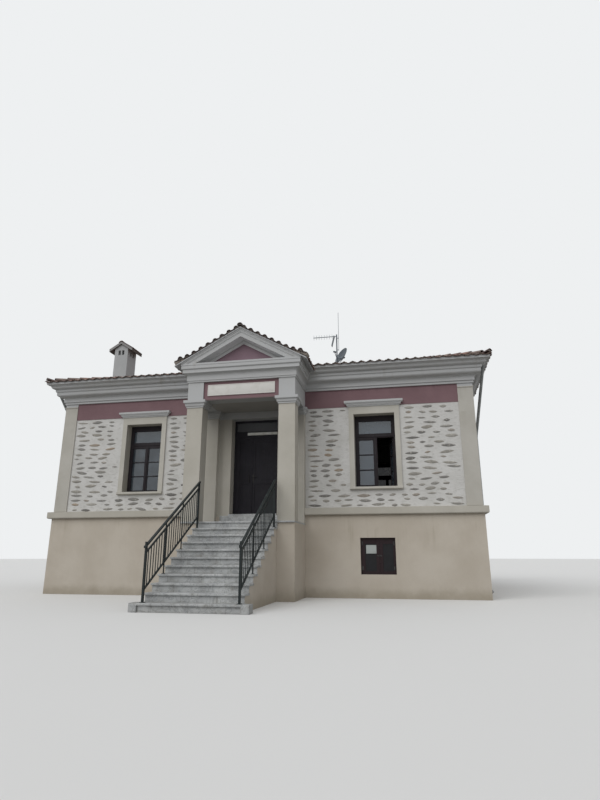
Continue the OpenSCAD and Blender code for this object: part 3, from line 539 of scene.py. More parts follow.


# Worn grey marble: clouds, thin veins, joints between the slabs, walked-in dirt and painted shade at
# the foot of each riser
def marblePaint(name, renderedSides=False):
    look = marbleLook
    paint = Paint(name)
    cloud = paint.noise(1.9, 5.0, 0.62, warp=0.6)
    colour = paint.mix(cloud.ramp(0.35, 0.68), look["base"], look["pale"])
    vein = abs(paint.noise(2.4, 6.0, 0.68, stretch=(1.0, 0.55, 1.6), warp=1.6, shift=3.0) - 0.5)
    colour = paint.mix(vein.ramp(0.035, 0.0) * 0.6, colour, look["vein"])
    dirt = paint.noise(5.0, 5.0, 0.68, shift=9.0)
    colour = paint.mix(dirt.ramp(0.48, 0.78) * 0.6, colour, look["dirt"])
    row = (paint.z / house["riser"] + 0.02).floor()
    along = (paint.x / look["slab"] + row * look["stagger"]) % 1.0
    line = abs(along - 0.5).ramp(0.5 - look["jointShare"], 0.5)
    colour = paint.mix(line * 0.75, colour, look["joint"])
    # Darker just above each step's level, at the foot of each riser: walked-in dirt and painted
    # shade in the crease
    creaseDirtAndShade = (paint.z % house["riser"]).ramp(0.05, 0.0)
    creaseDirtAndShade = creaseDirtAndShade * paint.noise(3.0, 3.0, 0.6, shift=1.0).ramp(0.3, 0.6)
    colour = paint.mix(creaseDirtAndShade * 0.25, colour, look["creaseDirtAndShade"])
    height = cloud * 0.0015 - line * 0.003 + dirt * 0.001
    roughness = 0.42 + dirt * 0.35
    if renderedSides:
        # The flight's two sides are rendered like the basement
        reach = abs(paint.x)
        side = (reach > house["stairSide"] - 0.001) * (reach < house["stairSide"] + 0.002)
        smooth, smoothHeight, smoothRoughness = plasterLayers(paint, beige)
        colour = paint.mix(side, colour, smooth)
        height = side.blend(height, smoothHeight)
        roughness = side.blend(roughness, smoothRoughness)
    paint.finish(colour, roughness, height)


timberLook = {"stretch": (14.0, 14.0, 0.9), "fine": "#0e0b0d", "dust": "#6b6362"}


# Dark varnished timber with upright grain, dust and dry patches
def timberLayers(paint, base, pale):
    look = timberLook
    grain = paint.noise(3.2, 5.0, 0.65, stretch=look["stretch"], warp=0.8)
    colour = paint.mix(grain.ramp(0.35, 0.7), base, pale)
    fine = paint.noise(14.0, 3.0, 0.6, stretch=look["stretch"], shift=2.0)
    colour = paint.mix(fine.ramp(0.55, 0.75) * 0.5, colour, look["fine"])
    dust = paint.noise(4.0, 4.0, 0.6, shift=6.0)
    colour = paint.mix(dust.ramp(0.55, 0.85) * 0.08, colour, look["dust"])
    return colour, 0.5 + dust * 0.3, grain * 0.0012 + fine * 0.0006


def timberPaint(name, base, pale):
    paint = Paint(name)
    colour, roughness, height = timberLayers(paint, base, pale)
    paint.finish(colour, roughness, height, Specular_IOR_Level=0.3)


hatchLook = {
    "base": "#1f1114",
    "pale": "#28171b",
    "pane": "#0a0a0d",
    "paneFilm": "#131318",
    "paneY": (0.0775, 0.0785),
}


# The hatch doors: timber frames round two sunk, dull metal panes
def hatchPaint():
    look = hatchLook
    paint = Paint("hatchTimber")
    colour, roughness, height = timberLayers(paint, look["base"], look["pale"])
    pane = (paint.y > look["paneY"][0]) * (paint.y < look["paneY"][1])
    film = paint.noise(7.0, 4.0, 0.6, shift=3.0)
    dull = paint.mix(film.ramp(0.35, 0.75), look["pane"], look["paneFilm"])
    colour = paint.mix(pane, colour, dull)
    roughness = pane.blend(roughness, 0.35 + film * 0.2)
    height = pane.blend(height, film * 0.001)
    paint.finish(colour, roughness, height, Specular_IOR_Level=0.3)


ironLook = {"base": "#0b1314", "pale": "#151f1f", "chip": "#4c382e", "dust": "#5c615f"}


# Dark green iron paint, a little brown where it has chipped
def ironPaint():
    look = ironLook
    paint = Paint("greenIron")
    cloud = paint.noise(6.0, 4.0, 0.6)
    colour = paint.mix(cloud.ramp(0.3, 0.7), look["base"], look["pale"])
    chips = paint.noise(34.0, 4.0, 0.7, shift=4.0)
    colour = paint.mix(chips.ramp(0.7, 0.76), colour, look["chip"])
    dust = paint.faces("Z").ramp(0.3, 1.0) * paint.noise(9.0, 3.0).ramp(0.35, 0.7)
    colour = paint.mix(dust * 0.15, colour, look["dust"])
    height = paint.noise(90.0, 2.0, 0.6) * 0.0004 - chips.ramp(0.66, 0.74) * 0.0006
    paint.finish(colour, 0.45 + cloud * 0.22, height, Specular_IOR_Level=0.35)


# Bare or thinly painted metal with small dull spots
def metalPaint(name, base, pale, metallic, roughness):
    paint = Paint(name)
    cloud = paint.noise(11.0, 4.0, 0.62)
    colour = paint.mix(cloud.ramp(0.3, 0.72), base, pale)
    spots = paint.noise(42.0, 3.0, 0.7, shift=5.0)
    colour = paint.mix(spots.ramp(0.6, 0.78) * 0.3, colour, "#6c665c")
    paint.finish(colour, roughness + cloud * 0.2, spots * 0.0006, Metallic=metallic)


glassLook = {
    "base": "#28323b",
    "film": "#4a555f",
    "curtain": "#525d68",
    "curtainX": 2.8,
    "sky": "#67737d",
    "skyZ": 4.2,
    "overDoor": "#14171c",
    "overDoorHalf": 0.7,
    "overDoorY": 1.0,
    "wave": 0.004,
}


# Window glass before a dark room, with a film of dust
def glassPaint():
    look = glassLook
    paint = Paint("windowGlass")
    film = paint.noise(2.6, 4.0, 0.6)
    colour = paint.mix(film.ramp(0.3, 0.8), look["base"], look["film"])
    # A pale curtain hangs behind the right window
    colour = paint.mix((paint.x > look["curtainX"]) * 0.6, colour, look["curtain"])
    # The upper lights are painted lighter: a painted reflection of the sky
    colour = paint.mix((paint.z > look["skyZ"]) * 0.35, colour, look["sky"])
    # The pane over the door is painted dark, painted shade from the porch, and it is dull with dust
    shadedDustyPane = (abs(paint.x) < look["overDoorHalf"]) * (paint.y < look["overDoorY"])
    colour = paint.mix(shadedDustyPane, colour, look["overDoor"])
    roughness = shadedDustyPane.blend(0.05 + film * 0.06, 0.6)
    wave = paint.noise(1.7, 1.0, 0.4, shift=3.0) * look["wave"]
    paint.finish(colour, roughness, wave, Alpha=0.82, IOR=1.6, Specular_IOR_Level=0.9)


lampLook = {"base": "#e9e9e4", "film": "#cfcfc6", "ribsPerMetre": 60.0}


def lampPaint():
    look = lampLook
    paint = Paint("lampPlastic")
    film = paint.noise(8.0, 3.0, 0.6)
    ribs = abs((paint.x * look["ribsPerMetre"]) % 1.0 - 0.5)
    colour = paint.mix(film.ramp(0.3, 0.8), look["base"], look["film"])
    paint.finish(colour, 0.3 + film * 0.2, ribs * 0.001, Coat_Weight=0.3)


# A bare painted board or sheet with faint runs
def boardPaint(name, base, stain):
    paint = Paint(name)
    film = paint.noise(5.0, 4.0, 0.6)
    colour = paint.mix(film.ramp(0.45, 0.8) * 0.5, base, stain)
    runs = paint.noise(1.0, 3.0, 0.6, stretch=(24.0, 24.0, 1.5)).ramp(0.58, 0.75)
    colour = paint.mix(runs * 0.3, colour, stain)
    paint.finish(colour, 0.5 + film * 0.25, paint.noise(60.0, 2.0) * 0.0004)


for name, look in plasters.items():
    plasterPaint(name, look)
panelPaint("beamPlaster", beamField, dustyRed, plaster)
panelPaint("gablePlaster", gableField, gableRedPaintedLight, gableWallPaintedLight)
mortarPaint()
stonePaint()
clayPaint()
beddingPaint("tileBedding", "tiles")
beddingPaint("roofSlab", "roof")
beddingPaint("sootedSlab", "chimney")
marblePaint("wornMarble")
marblePaint("flightMasonry", renderedSides=True)
timberPaint("windowTimber", "#181317", "#241d22")
timberPaint("doorTimber", "#0c0a11", "#17131d")
hatchPaint()
ironPaint()
metalPaint("aerialMetal", "#5d6369", "#737a80", 0.5, 0.45)
metalPaint("pipeMetal", "#7c8080", "#989c9b", 0.2, 0.45)
metalPaint("handleBronze", "#1d1c1b", "#2b2927", 0.4, 0.5)
metalPaint("hingeSteel", "#3b3a3a", "#525150", 0.7, 0.45)
glassPaint()
lampPaint()
boardPaint("plateStone", "#d2d0cb", "#bbb8b0")
boardPaint("noticePaper", "#a9afac", "#8d918e")

nodeFinish = {
    "trimPlaster": ["belt_course", "cornice_front", "cornice_sides", "cornice_back", "porch_piers",
                    "porch_entablature_sides", "wall_over_door"],
    "rakingPlaster": ["raking_cornice"],
    "chimneyPlaster": ["chimney_stack"],
    "surroundPlaster": ["window_surrounds"],
    "pilasterPlaster": ["corner_pilasters"],
    "roomPlaster": ["ceiling"],
    "soffitPlaster": ["porch_ceiling"],
    "beigeRender": ["basement_front_wall", "basement_back_wall", "basement_left_wall",
                    "basement_right_wall", "porch_podium"],
    "dustyRedRender": ["frieze_band"],
    "beamPlaster": ["porch_entablature_front"],
    "gablePlaster": ["pediment_wall"],
    "limeMortar": ["front_wall_left", "front_wall_right", "back_wall", "left_wall", "right_wall"],
    "roofSlab": ["roof_front_slope", "roof_back_slope", "roof_hip_ends", "porch_roof"],
    "sootedSlab": ["chimney_cap"],
    "wornMarble": ["main_floor", "door_step", "stair_treads"],
    "flightMasonry": ["stair_core"],
    "windowTimber": ["window_frames"],
    "doorTimber": ["door_frame", "door_leaf_left", "door_leaf_right"],
    "hatchTimber": ["basement_shutters"],
    "greenIron": ["stair_railings"],
    "aerialMetal": ["roof_aerials"],
    "pipeMetal": ["downpipes"],
    "windowGlass": ["window_glass"],
    "lampPlastic": ["door_light"],
}

for finish, names in nodeFinish.items():
    for name in names:
        material = bpy.data.materials[finish]
        if not nodes[name].material_slots:
            nodes[name].data.materials.append(material)
        for place in nodes[name].material_slots:
            place.link = "OBJECT"
            place.material = material
unpainted = set(nodes) - {name for names in nodeFinish.values() for name in names}
print("finishes made, nodes left:", sorted(unpainted))


# Turns a bmesh into a piece that rides on a body
def keepPiece(bm, name, finish, body="building", smooth=35.0):
    mesh = toMesh(bm, name)
    mesh.materials.append(bpy.data.materials[finish])
    mesh.shade_smooth()
    mesh.set_sharp_from_angle(angle=math.radians(smooth))
    piece = addObject(name, mesh)
    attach(piece, body)


# A block between two corners with eased edges, added to a bmesh
def addBlock(bm, low, high, ease, segments, turn=None):
    size = [high[i] - low[i] for i in range(3)]
    middle = [(high[i] + low[i]) / 2 for i in range(3)]
    place = Matrix.Translation(middle) @ Matrix.Diagonal((*size, 1.0))
    if turn:
        place = turn @ place
    made = bmesh.ops.create_cube(bm, size=1.0, matrix=place)
    edges = list({e for v in made["verts"] for e in v.link_edges})
    bmesh.ops.bevel(bm, geom=edges, offset=ease, segments=segments, affect="EDGES",
                    profile=0.5, material=-1)


# A round bar between two points
def addBar(bm, start, end, radius, segments=14):
    along = Vector(end) - Vector(start)
    turn = along.to_track_quat("Z", "Y").to_matrix().to_4x4()
    place = Matrix.Translation((Vector(start) + Vector(end)) / 2) @ turn
    bmesh.ops.create_cone(bm, cap_ends=True, segments=segments, radius1=radius, radius2=radius,
                          depth=along.length, matrix=place)


# The place of a plane from its corner and its directions across and up
def planeAt(corner, across, up):
    across, up = Vector(across), Vector(up)
    plane = Matrix((across, up, across.cross(up))).transposed().to_4x4()
    plane.translation = corner
    return plane


def turned(degrees, axis):
    return Matrix.Rotation(math.radians(degrees), 4, axis)


# Copies of a small shape, each with its own place and tone
class Scatter:
    def __init__(self):
        self.bm = bmesh.new()
        self.bm.verts.layers.float.new("tone")
        self.bm.verts.layers.float.new("end")

    # A vertex at the shape's own foot is marked as an end
    def add(self, shape, place, ownTone):
        start = len(self.bm.verts)
        self.bm.from_mesh(shape)
        self.bm.verts.ensure_lookup_table()
        toneLayer = self.bm.verts.layers.float["tone"]
        endLayer = self.bm.verts.layers.float["end"]
        for vert in self.bm.verts[start:]:
            vert[endLayer] = 1.0 if vert.co.y < 0.002 else 0.0
            vert[toneLayer] = ownTone
            vert.co = place @ vert.co

    # Cuts off what lies on the far side of a plane and closes the cuts
    def cut(self, point, away):
        parts = self.bm.verts[:] + self.bm.edges[:] + self.bm.faces[:]
        result = bmesh.ops.bisect_plane(self.bm, geom=parts, plane_co=point, plane_no=away,
                                        clear_outer=True)
        edges = [e for e in result["geom_cut"] if isinstance(e, bmesh.types.BMEdge)]
        bmesh.ops.holes_fill(self.bm, edges=edges, sides=0)


# Stones

stones = {
    "seed": 11,
    "shapes": 10,
    "length": (0.16, 0.40),
    "height": (0.050, 0.098),
    "rise": (0.008, 0.016),
    "lean": 0.12,
    "blunt": (0.5, 0.95),
    "wobble": (0.025, 0.035, 0.06),
    "firstRow": 0.05,
    "lastRow": 0.03,
    "rowStep": 0.134,
    "rowSpread": (0.92, 1.08),
    "start": (0.0, 0.16),
    "gap": (0.06, 0.24),
    "gapPastWindow": (0.0, 0.1),
    "drift": 0.02,
    "tilt": 0.075,
    "edge": 0.035,
    "pilasterGap": 0.02,
    "porchGap": 0.01,
    "windowGap": 0.03,
}


# A low dome with a pointed, uneven outline, one unit long and one unit high
def stoneShape(rng, number):
    bm = bmesh.new()
    bmesh.ops.create_icosphere(bm, subdivisions=2, radius=0.5)
    lean = rng.uniform(-stones["lean"], stones["lean"])
    blunt = rng.uniform(*stones["blunt"])
    for vert in bm.verts:
        x = vert.co.x * 2
        sharp = (1 - abs(x) ** 1.7) ** blunt if abs(x) < 1 else 0.0
        vert.co.y = vert.co.y * (0.45 + 0.55 * sharp) + lean * x * x * 0.5
        vert.co.z = math.copysign(abs(vert.co.z * 2) ** 0.7 * 0.5, vert.co.z)
        for axis, reach in enumerate(stones["wobble"]):
            vert.co[axis] += rng.uniform(-reach, reach)
    return toMesh(bm, "stoneShape" + str(number))


# Lays rows of stones in an area of a wall, given as left, foot, right and top, round its openings
def layStones(name, corner, across, area, openings, rng):
    heap = Scatter()
    shapes = [stoneShape(rng, i) for i in range(stones["shapes"])]
    wall = planeAt(corner, across, (0, 0, 1))
    left, foot, right, top = area
    edge = stones["edge"]
    level = foot + stones["firstRow"]
    count = 0
    while level < top - stones["lastRow"]:
        along = left + rng.uniform(*stones["start"])
        while along < right:
            length = rng.uniform(*stones["length"])
            height = rng.uniform(*stones["height"]) * (0.7 + length)
            middle = level + rng.uniform(-stones["drift"], stones["drift"])
            low = middle - height / 2 - edge
            high = middle + height / 2 + edge
            end = along + length
            if end > right:
                break
            hits = [o for o in openings if along - edge < o[2] and end + edge > o[0]
                    and low < o[3] and high > o[1]]
            if hits:
                along = max(o[2] for o in hits) + edge + rng.uniform(*stones["gapPastWindow"])
                continue
            if high - edge > top or low + edge < foot:
                along = end
                continue
            size = Matrix.Diagonal((length, height, 2 * rng.uniform(*stones["rise"]), 1.0))
            turn = Matrix.Rotation(rng.gauss(0.0, stones["tilt"]), 4, "Z")
            place = wall @ Matrix.Translation((along + length / 2, middle, 0.0)) @ turn @ size
            heap.add(rng.choice(shapes), place, rng.random())
            count += 1
            along = end + rng.uniform(*stones["gap"])
        level += stones["rowStep"] * rng.uniform(*stones["rowSpread"])
    print(name, count, "stones")
    keepPiece(heap.bm, name, "fieldStone")


def windowAreas(*middles):
    half = house["windowHalf"] + house["surround"] + stones["windowGap"]
    return [(middle - half, surroundLow.z, middle + half, surroundHigh.z) for middle in middles]


def makeStones():
    rng = random.Random(stones["seed"])
    half, depth, face = house["halfFront"], house["depth"], house["stoneBack"]
    inset = house["pilasterWidth"] + stones["pilasterGap"]
    windowX = house["windowX"]
    porchHalf = house["porchHalf"] + stones["porchGap"]
    porch = (-porchHalf, 0.0, porchHalf, roofHigh.z)
    front = (-half + inset, beltTop, half - inset, friezeLow.z)
    side = (inset, beltTop, depth - inset, friezeLow.z)
    walls = {
        "frontStones": ((0, face, 0), (1, 0, 0), front, windowAreas(-windowX, windowX) + [porch]),
        "backStones": ((0, depth - face, 0), (-1, 0, 0), front, windowAreas(-windowX, 0.0, windowX)),
        "rightStones": ((half - face, 0, 0), (0, 1, 0), side, windowAreas(*house["sideWindows"])),
        "leftStones": ((-half + face, depth, 0), (0, -1, 0), side,
                       windowAreas(*house["sideWindows"])),
    }
    for name, (corner, across, area, openings) in walls.items():
        layStones(name, corner, across, area, openings, rng)


makeStones()

# Roof tiles

# Half pipes, or troughs where up is -1: the arc in degrees, and the share of the upper end's size
tileKinds = {
    "cap": dict(radius=0.057, arc=170, steps=5, length=0.43, taper=0.82, skin=0.011, up=1),
    "pan": dict(radius=0.090, arc=100, steps=3, length=0.43, taper=0.9, skin=0.011, up=-1),
    "ridge": dict(radius=0.105, arc=150, steps=6, length=0.43, taper=0.86, skin=0.013, up=1),
    "verge": dict(radius=0.068, arc=200, steps=8, length=0.34, taper=0.86, skin=0.013, up=1),
    "vergePan": dict(radius=0.085, arc=96, steps=5, length=0.34, taper=0.95, skin=0.013, up=-1),
}

tiles = {
    "seed": 23,
    "slope": 0.306,
    "pitch": 0.243,
    "show": 0.355,
    "overhang": 0.035,
    "lean": 1.6,
    "capLift": 0.008,
    "capBack": 0.012,
    "panLift": 0.094,
    "twist": 0.012,
    "slip": 0.006,
    "sway": 0.004,
    "tones": (0.2, 1.0),
}

ridge = {
    "step": 0.36,
    "lift": 0.035,
    "mainLift": 0.045,
    "porchLift": 0.04,
    "lap": 0.004,
    "lean": 2.0,
    "twist": 0.02,
    "hipStart": 0.035,
    "porchStart": 0.3,
    "cornerOut": 0.02,
    "cornerLift": 0.085,
    "cornerTip": 20.0,
    "endScale": 0.8,
}

verge = {
    "slope": 0.55,
    "first": 0.105,
    "step": 0.1915,
    "count": 9,
    "over": 0.032,
    "lift": 0.014,
    "footLift": (0.025, 0.075),
    "panLift": 0.088,
    "sway": 0.004,
    "lean": (-1.0, 0.8),
    "tones": (0.0, 0.22),
    "panTones": (0.0, 0.15),
    "crestOver": 0.012,
    "crestLift": 0.016,
    "reach": 0.75,
}

mortarBeds = {
    "ridge": dict(width=0.16, height=0.10, start=0.03, end=0.40, level=0.0),
    "foot": dict(width=0.19, height=0.10, start=0.03, end=0.30, level=-0.095),
}

plug = {"segments": 12, "depth": 0.02, "back": 0.03}


# A half pipe or a shallow trough along Y, narrower at its upper end, with real thickness
def troughShape(name, tile):
    bm = bmesh.new()
    up, radius, taper = tile["up"], tile["radius"], tile["taper"]
    start = math.radians(90 + tile["arc"] / 2)
    first = bm.verts.new((math.cos(start) * radius, 0.0, up * math.sin(start) * radius))
    bmesh.ops.spin(bm, geom=[first], cent=(0, 0, 0), axis=(0, up, 0),
                   angle=math.radians(tile["arc"]), steps=tile["steps"], use_duplicate=False)
    ends = bmesh.ops.extrude_edge_only(bm, edges=bm.edges[:])
    verts = [g for g in ends["geom"] if isinstance(g, bmesh.types.BMVert)]
    bmesh.ops.scale(bm, verts=verts, vec=(taper, 1.0, taper))
    bmesh.ops.translate(bm, verts=verts, vec=(0, tile["length"], 0))
    bmesh.ops.recalc_face_normals(bm, faces=bm.faces)
    bmesh.ops.solidify(bm, geom=bm.faces[:], thickness=tile["skin"])
    bmesh.ops.recalc_face_normals(bm, faces=bm.faces)
    return toMesh(bm, name)


# A bed of mortar under a tile
def bedShape(name, bed):
    bm = bmesh.new()
    half, level = bed["height"] / 2, bed["level"]
    addBlock(bm, (-bed["width"] / 2, bed["start"], level - half),
             (bed["width"] / 2, bed["end"], level + half), 0.02, 2)
    return toMesh(bm, name)


# The mortar that closes the foot of a tile, a little smaller than the tile
def plugShape(kind, gap):
    tile = tileKinds[kind]
    radius = tile["radius"] - gap
    foot = math.cos(math.radians(tile["arc"] / 2)) * radius
    bm = bmesh.new()
    bmesh.ops.create_circle(bm, cap_ends=True, segments=plug["segments"], radius=radius)
    bmesh.ops.rotate(bm, verts=bm.verts, matrix=Matrix.Rotation(math.pi / 2, 3, "X"))
    parts = bm.verts[:] + bm.edges[:] + bm.faces[:]
    bmesh.ops.bisect_plane(bm, geom=parts, plane_co=(0, 0, foot), plane_no=(0, 0, -1),
                           clear_outer=True)
    bmesh.ops.recalc_face_normals(bm, faces=bm.faces)
    bmesh.ops.solidify(bm, geom=bm.faces[:], thickness=plug["depth"])
    bmesh.ops.translate(bm, verts=bm.verts, vec=(0, plug["back"], 0))
    bmesh.ops.recalc_face_normals(bm, faces=bm.faces)
    return toMesh(bm, kind + "Plug")


tileShapes = {kind: troughShape(kind + "Shape", tile) for kind, tile in tileKinds.items()}
bedShapes = {kind: bedShape(kind + "Bed", bed) for kind, bed in mortarBeds.items()}
plugShapes = {"cap": plugShape("cap", 0.005), "ridge": plugShape("ridge", 0.007),
              "verge": plugShape("verge", 0.006)}


# Covers a slope from the lower left corner of its plane; the caps at the eaves get plugs
def layTiles(heap, plugs, foot, across, upslope, width, run, rng):
    plane = planeAt(foot, across, upslope)
    columns = max(1, round(width / tiles["pitch"]))
    pitch = width / columns
    rows = math.ceil((run + tiles["overhang"]) / tiles["show"]) + 1
    lean = turned(-tiles["lean"], "X")
    for row in range(rows):
        y = -tiles["overhang"] + row * tiles["show"]
        for column in range(columns + 1):
            x = column * pitch
            twist = Matrix.Rotation(rng.gauss(0, tiles["twist"]), 4, "Z")
            slip = rng.gauss(0, tiles["slip"])
            if column < columns:
                place = Matrix.Translation((x + pitch / 2, y + slip, tiles["panLift"]))
                own = rng.uniform(*tiles["tones"])
                heap.add(tileShapes["pan"], plane @ place @ lean @ twist, own)
            sway = rng.gauss(0, tiles["sway"])
            place = Matrix.Translation((x + sway, y + slip + tiles["capBack"], tiles["capLift"]))
            place = plane @ place @ lean @ twist
            heap.add(tileShapes["cap"], place, rng.uniform(*tiles["tones"]))
            if plugs and row == 0 and 0 < column < columns:
                plugs.add(plugShapes["cap"], place, 0.5)


# One slope of tiles, cut off at its hips, valleys and ridge
def coverSlope(name, plugs, foot, across, upslope, width, run, cuts, rng):
    heap = Scatter()
    layTiles(heap, plugs, foot, across, upslope, width, run, rng)
    for point, away in cuts:
        heap.cut(point, away)
    keepPiece(heap.bm, name, "clayTile", smooth=40.0)


# A row of ridge caps from one point up or along to another, on beds where plugs is given
def layCaps(heap, plugs, start, end, rng, height=ridge["lift"]):
    along = end - start
    count = max(1, round(along.length / ridge["step"]))
    forward = along.normalized()
    side = forward.cross(Vector((0, 0, 1))).normalized()
    up = side.cross(forward)
    turn = planeAt((0, 0, 0), side, forward)
    for i in range(count):
        shift = along / count * i + up * (height + ridge["lap"] * (i % 2))
        place = Matrix.Translation(start + shift) @ turn
        twist = Matrix.Rotation(rng.gauss(0, ridge["twist"]), 4, "Z")
        own = rng.uniform(*tiles["tones"])
        heap.add(tileShapes["ridge"], place @ turned(-ridge["lean"], "X") @ twist, own)
        if plugs:
            plugs.add(bedShapes["ridge"], place, 0.5)
    return turn


# A smaller, closed ridge tile where a row of caps ends
def layEndCap(heap, plugs, place, ownTone, plugTone):
    scale = ridge["endScale"]
    place = place @ Matrix.Diagonal((scale, 1.0, scale, 1.0))
    heap.add(tileShapes["ridge"], place, ownTone)
    plugs.add(plugShapes["ridge"], place, plugTone)


# Tiles laid across each rake, with their round ends to the front
def layVerge(heap, plugs, front, top, rng):
    angle = math.atan(verge["slope"])

    def onRake(side, x, y, lift):
        place = Matrix.Translation((side * x, y, top - x * verge["slope"] + lift))
        return place @ Matrix.Rotation(side * angle, 4, "Y")

    # The lowest tiles are raised where the rake meets the eaves
    raises = [0.0] * (verge["count"] - len(verge["footLift"])) + list(verge["footLift"])
    for side in (-1, 1):
        for i, raised in enumerate(raises):
            x = verge["first"] + i * verge["step"]
            lift = verge["lift"] + raised
            y = front - verge["over"] + rng.gauss(0, verge["sway"])
            place = onRake(side, x, y, lift) @ turned(rng.gauss(*verge["lean"]), "X")
            heap.add(tileShapes["verge"], place, rng.uniform(*verge["tones"]))
            plugs.add(plugShapes["verge"], place, 0.0)
            place = onRake(side, x + verge["step"] / 2, front - verge["over"] / 2, lift)
            place = place @ Matrix.Translation((0, 0, verge["panLift"]))
            heap.add(tileShapes["vergePan"], place, rng.uniform(*verge["panTones"]))
            if raised:
                plugs.add(bedShapes["foot"], place, 0.5)
    y = front - verge["over"] - verge["crestOver"]
    crest = Matrix.Translation((0, y, top + verge["crestLift"]))
    layEndCap(heap, plugs, crest, 0.1, 0.0)


def makeRoof():
    rng = random.Random(tiles["seed"])
    plugs = Scatter()
    caps = Scatter()
    left, right = hipLow.x, hipHigh.x
    front, back = roofLow.y, hipHigh.y
    middle = house["depth"] / 2
    slope, porchSlope = tiles["slope"], verge["slope"]
    level, up = math.cos(math.atan(slope)), math.sin(math.atan(slope))
    run = (middle - front) / level
    eaves = roofHigh.z - slope * (middle - front)
    porchTop = porchRoofHigh.z
    corners = [Vector((x, y, eaves)) for x, y in ((left, front), (right, front), (right, back),
                                                  (left, back))]
    frontLeft, frontRight, backRight, backLeft = corners
    frontMiddle = Vector((0, front, eaves))
    valley = Vector((0, front + (porchTop - eaves) / slope, 0))
    crest = Vector((0, middle, 0))
    # Each slope: its lower left corner, its directions across and up, its width and its cuts
    slopes = {
        "frontTilesLeft": (frontLeft, (1, 0, 0), (0, level, up), right,
                           [(frontLeft, (-1, 1, 0)), (valley, (porchSlope, -slope, 0)),
                            (crest, (0, 1, 0)), (crest, (1, 0, 0))]),
        "frontTilesRight": (frontMiddle, (1, 0, 0), (0, level, up), right,
                            [(frontRight, (1, 1, 0)), (valley, (-porchSlope, -slope, 0)),
                             (crest, (0, 1, 0)), (crest, (-1, 0, 0))]),
        "backTiles": (backRight, (-1, 0, 0), (0, -level, up), right - left,
                      [(backLeft, (-1, -1, 0)), (backRight, (1, -1, 0)), (crest, (0, -1, 0))]),
        "leftTiles": (backLeft, (0, -1, 0), (level, 0, up), back - front,
                      [(frontLeft, (1, -1, 0)), (backLeft, (1, 1, 0))]),
        "rightTiles": (frontRight, (0, 1, 0), (-level, 0, up), back - front,
                       [(frontRight, (-1, -1, 0)), (backRight, (-1, 1, 0))]),
    }
    for name, (foot, across, upslope, width, cuts) in slopes.items():
        coverSlope(name, plugs, foot, across, upslope, width, run, cuts, rng)
    half = right - (middle - front)
    ends = [Vector((-half, middle, roofHigh.z)), Vector((half, middle, roofHigh.z))]
    for corner, end in zip(corners, (ends[0], ends[1], ends[1], ends[0])):
        turn = layCaps(caps, plugs, corner.lerp(end, ridge["hipStart"]), end, rng)
        # The upturned tile that closes the hip at the corner of the eaves
        shift = turn.col[1].xyz * -ridge["cornerOut"] + Vector((0, 0, ridge["cornerLift"]))
        place = Matrix.Translation(corner + shift) @ turn @ turned(-ridge["cornerTip"], "X")
        layEndCap(caps, plugs, place, 0.15, 0.5)
    layCaps(caps, plugs, *ends, rng, ridge["mainLift"])
    # The porch roof: its tiles run down both ways from its own ridge, before and behind the eaves
    down = porchRoofHigh.x
    porchLevel, porchUp = math.cos(math.atan(porchSlope)), math.sin(math.atan(porchSlope))
    foot = porchTop - porchSlope * down
    start = porchRoofLow.y + tileKinds["verge"]["length"] * verge["reach"]
    eavesLine = Vector((0, front, 0))
    for side, name in ((-1, "porchTilesLeft"), (1, "porchTilesRight")):
        upslope = (-side * porchLevel, 0, porchUp)
        overRidge = (Vector((0, 0, 0)), (-side, 0, 0))
        parts = {
            "Fore": (plugs, start, front, [overRidge, (eavesLine, (0, 1, 0))]),
            "Aft": (None, front, valley.y, [overRidge, (eavesLine, (0, -1, 0)),
                                            (valley, (side * porchSlope, slope, 0))]),
        }
        for part, (partPlugs, first, last, cuts) in parts.items():
            corner = (side * down, first if side > 0 else last, foot)
            coverSlope(name + part, partPlugs, corner, (0, side, 0), upslope, last - first,
                       down / porchLevel, cuts, rng)
    layCaps(caps, plugs, Vector((0, porchRoofLow.y + ridge["porchStart"], porchTop)),
            Vector((0, valley.y, porchTop)), rng, ridge["porchLift"])
    layVerge(caps, plugs, porchRoofLow.y, porchTop, rng)
    keepPiece(caps.bm, "ridgeAndVergeTiles", "clayTile", smooth=40.0)
    keepPiece(plugs.bm, "tileMortar", "tileBedding", smooth=40.0)


makeRoof()

chimney = {
    "seed": 5,
    "slope": 0.64,
    "count": 6,
    "tile": dict(radius=0.052, arc=160, steps=5, taper=0.85, skin=0.010, up=1),
    "sink": 0.010,
    "tones": (0.0, 0.4),
    "ridgeLift": -0.07,
    "ridgeEnds": (-0.01, -0.1),
}


# Small cap tiles down both slopes of the chimney's slab, and a ridge
def makeChimneyTiles():
    rng = random.Random(chimney["seed"])
    low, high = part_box("chimney_cap")
    heap = Scatter()
    half = (high.x - low.x) / 2
    middle = (high.x + low.x) / 2
    angle = math.atan(chimney["slope"])
    pitch = (high.y - low.y) / chimney["count"]
    foot = high.z - chimney["slope"] * half - chimney["sink"]
    smallCap = troughShape("smallCap", dict(chimney["tile"], length=half / math.cos(angle)))
    for side in (-1, 1):
        upslope = (-side * math.cos(angle), 0, math.sin(angle))
        for i in range(chimney["count"]):
            corner = (middle + side * half, low.y + pitch * (i + 0.5), foot)
            place = planeAt(corner, (0, side, 0), upslope)
            heap.add(smallCap, place, rng.uniform(*chimney["tones"]))
    ends = [Vector((middle, y + shift, high.z))
            for y, shift in zip((low.y, high.y), chimney["ridgeEnds"])]
    layCaps(heap, None, *ends, rng, chimney["ridgeLift"])
    keepPiece(heap.bm, "chimneyTiles", "clayTile", smooth=40.0)


makeChimneyTiles()
print("roof and chimney tiles laid")

# Windows: the bars of the casements and the beads round the panes

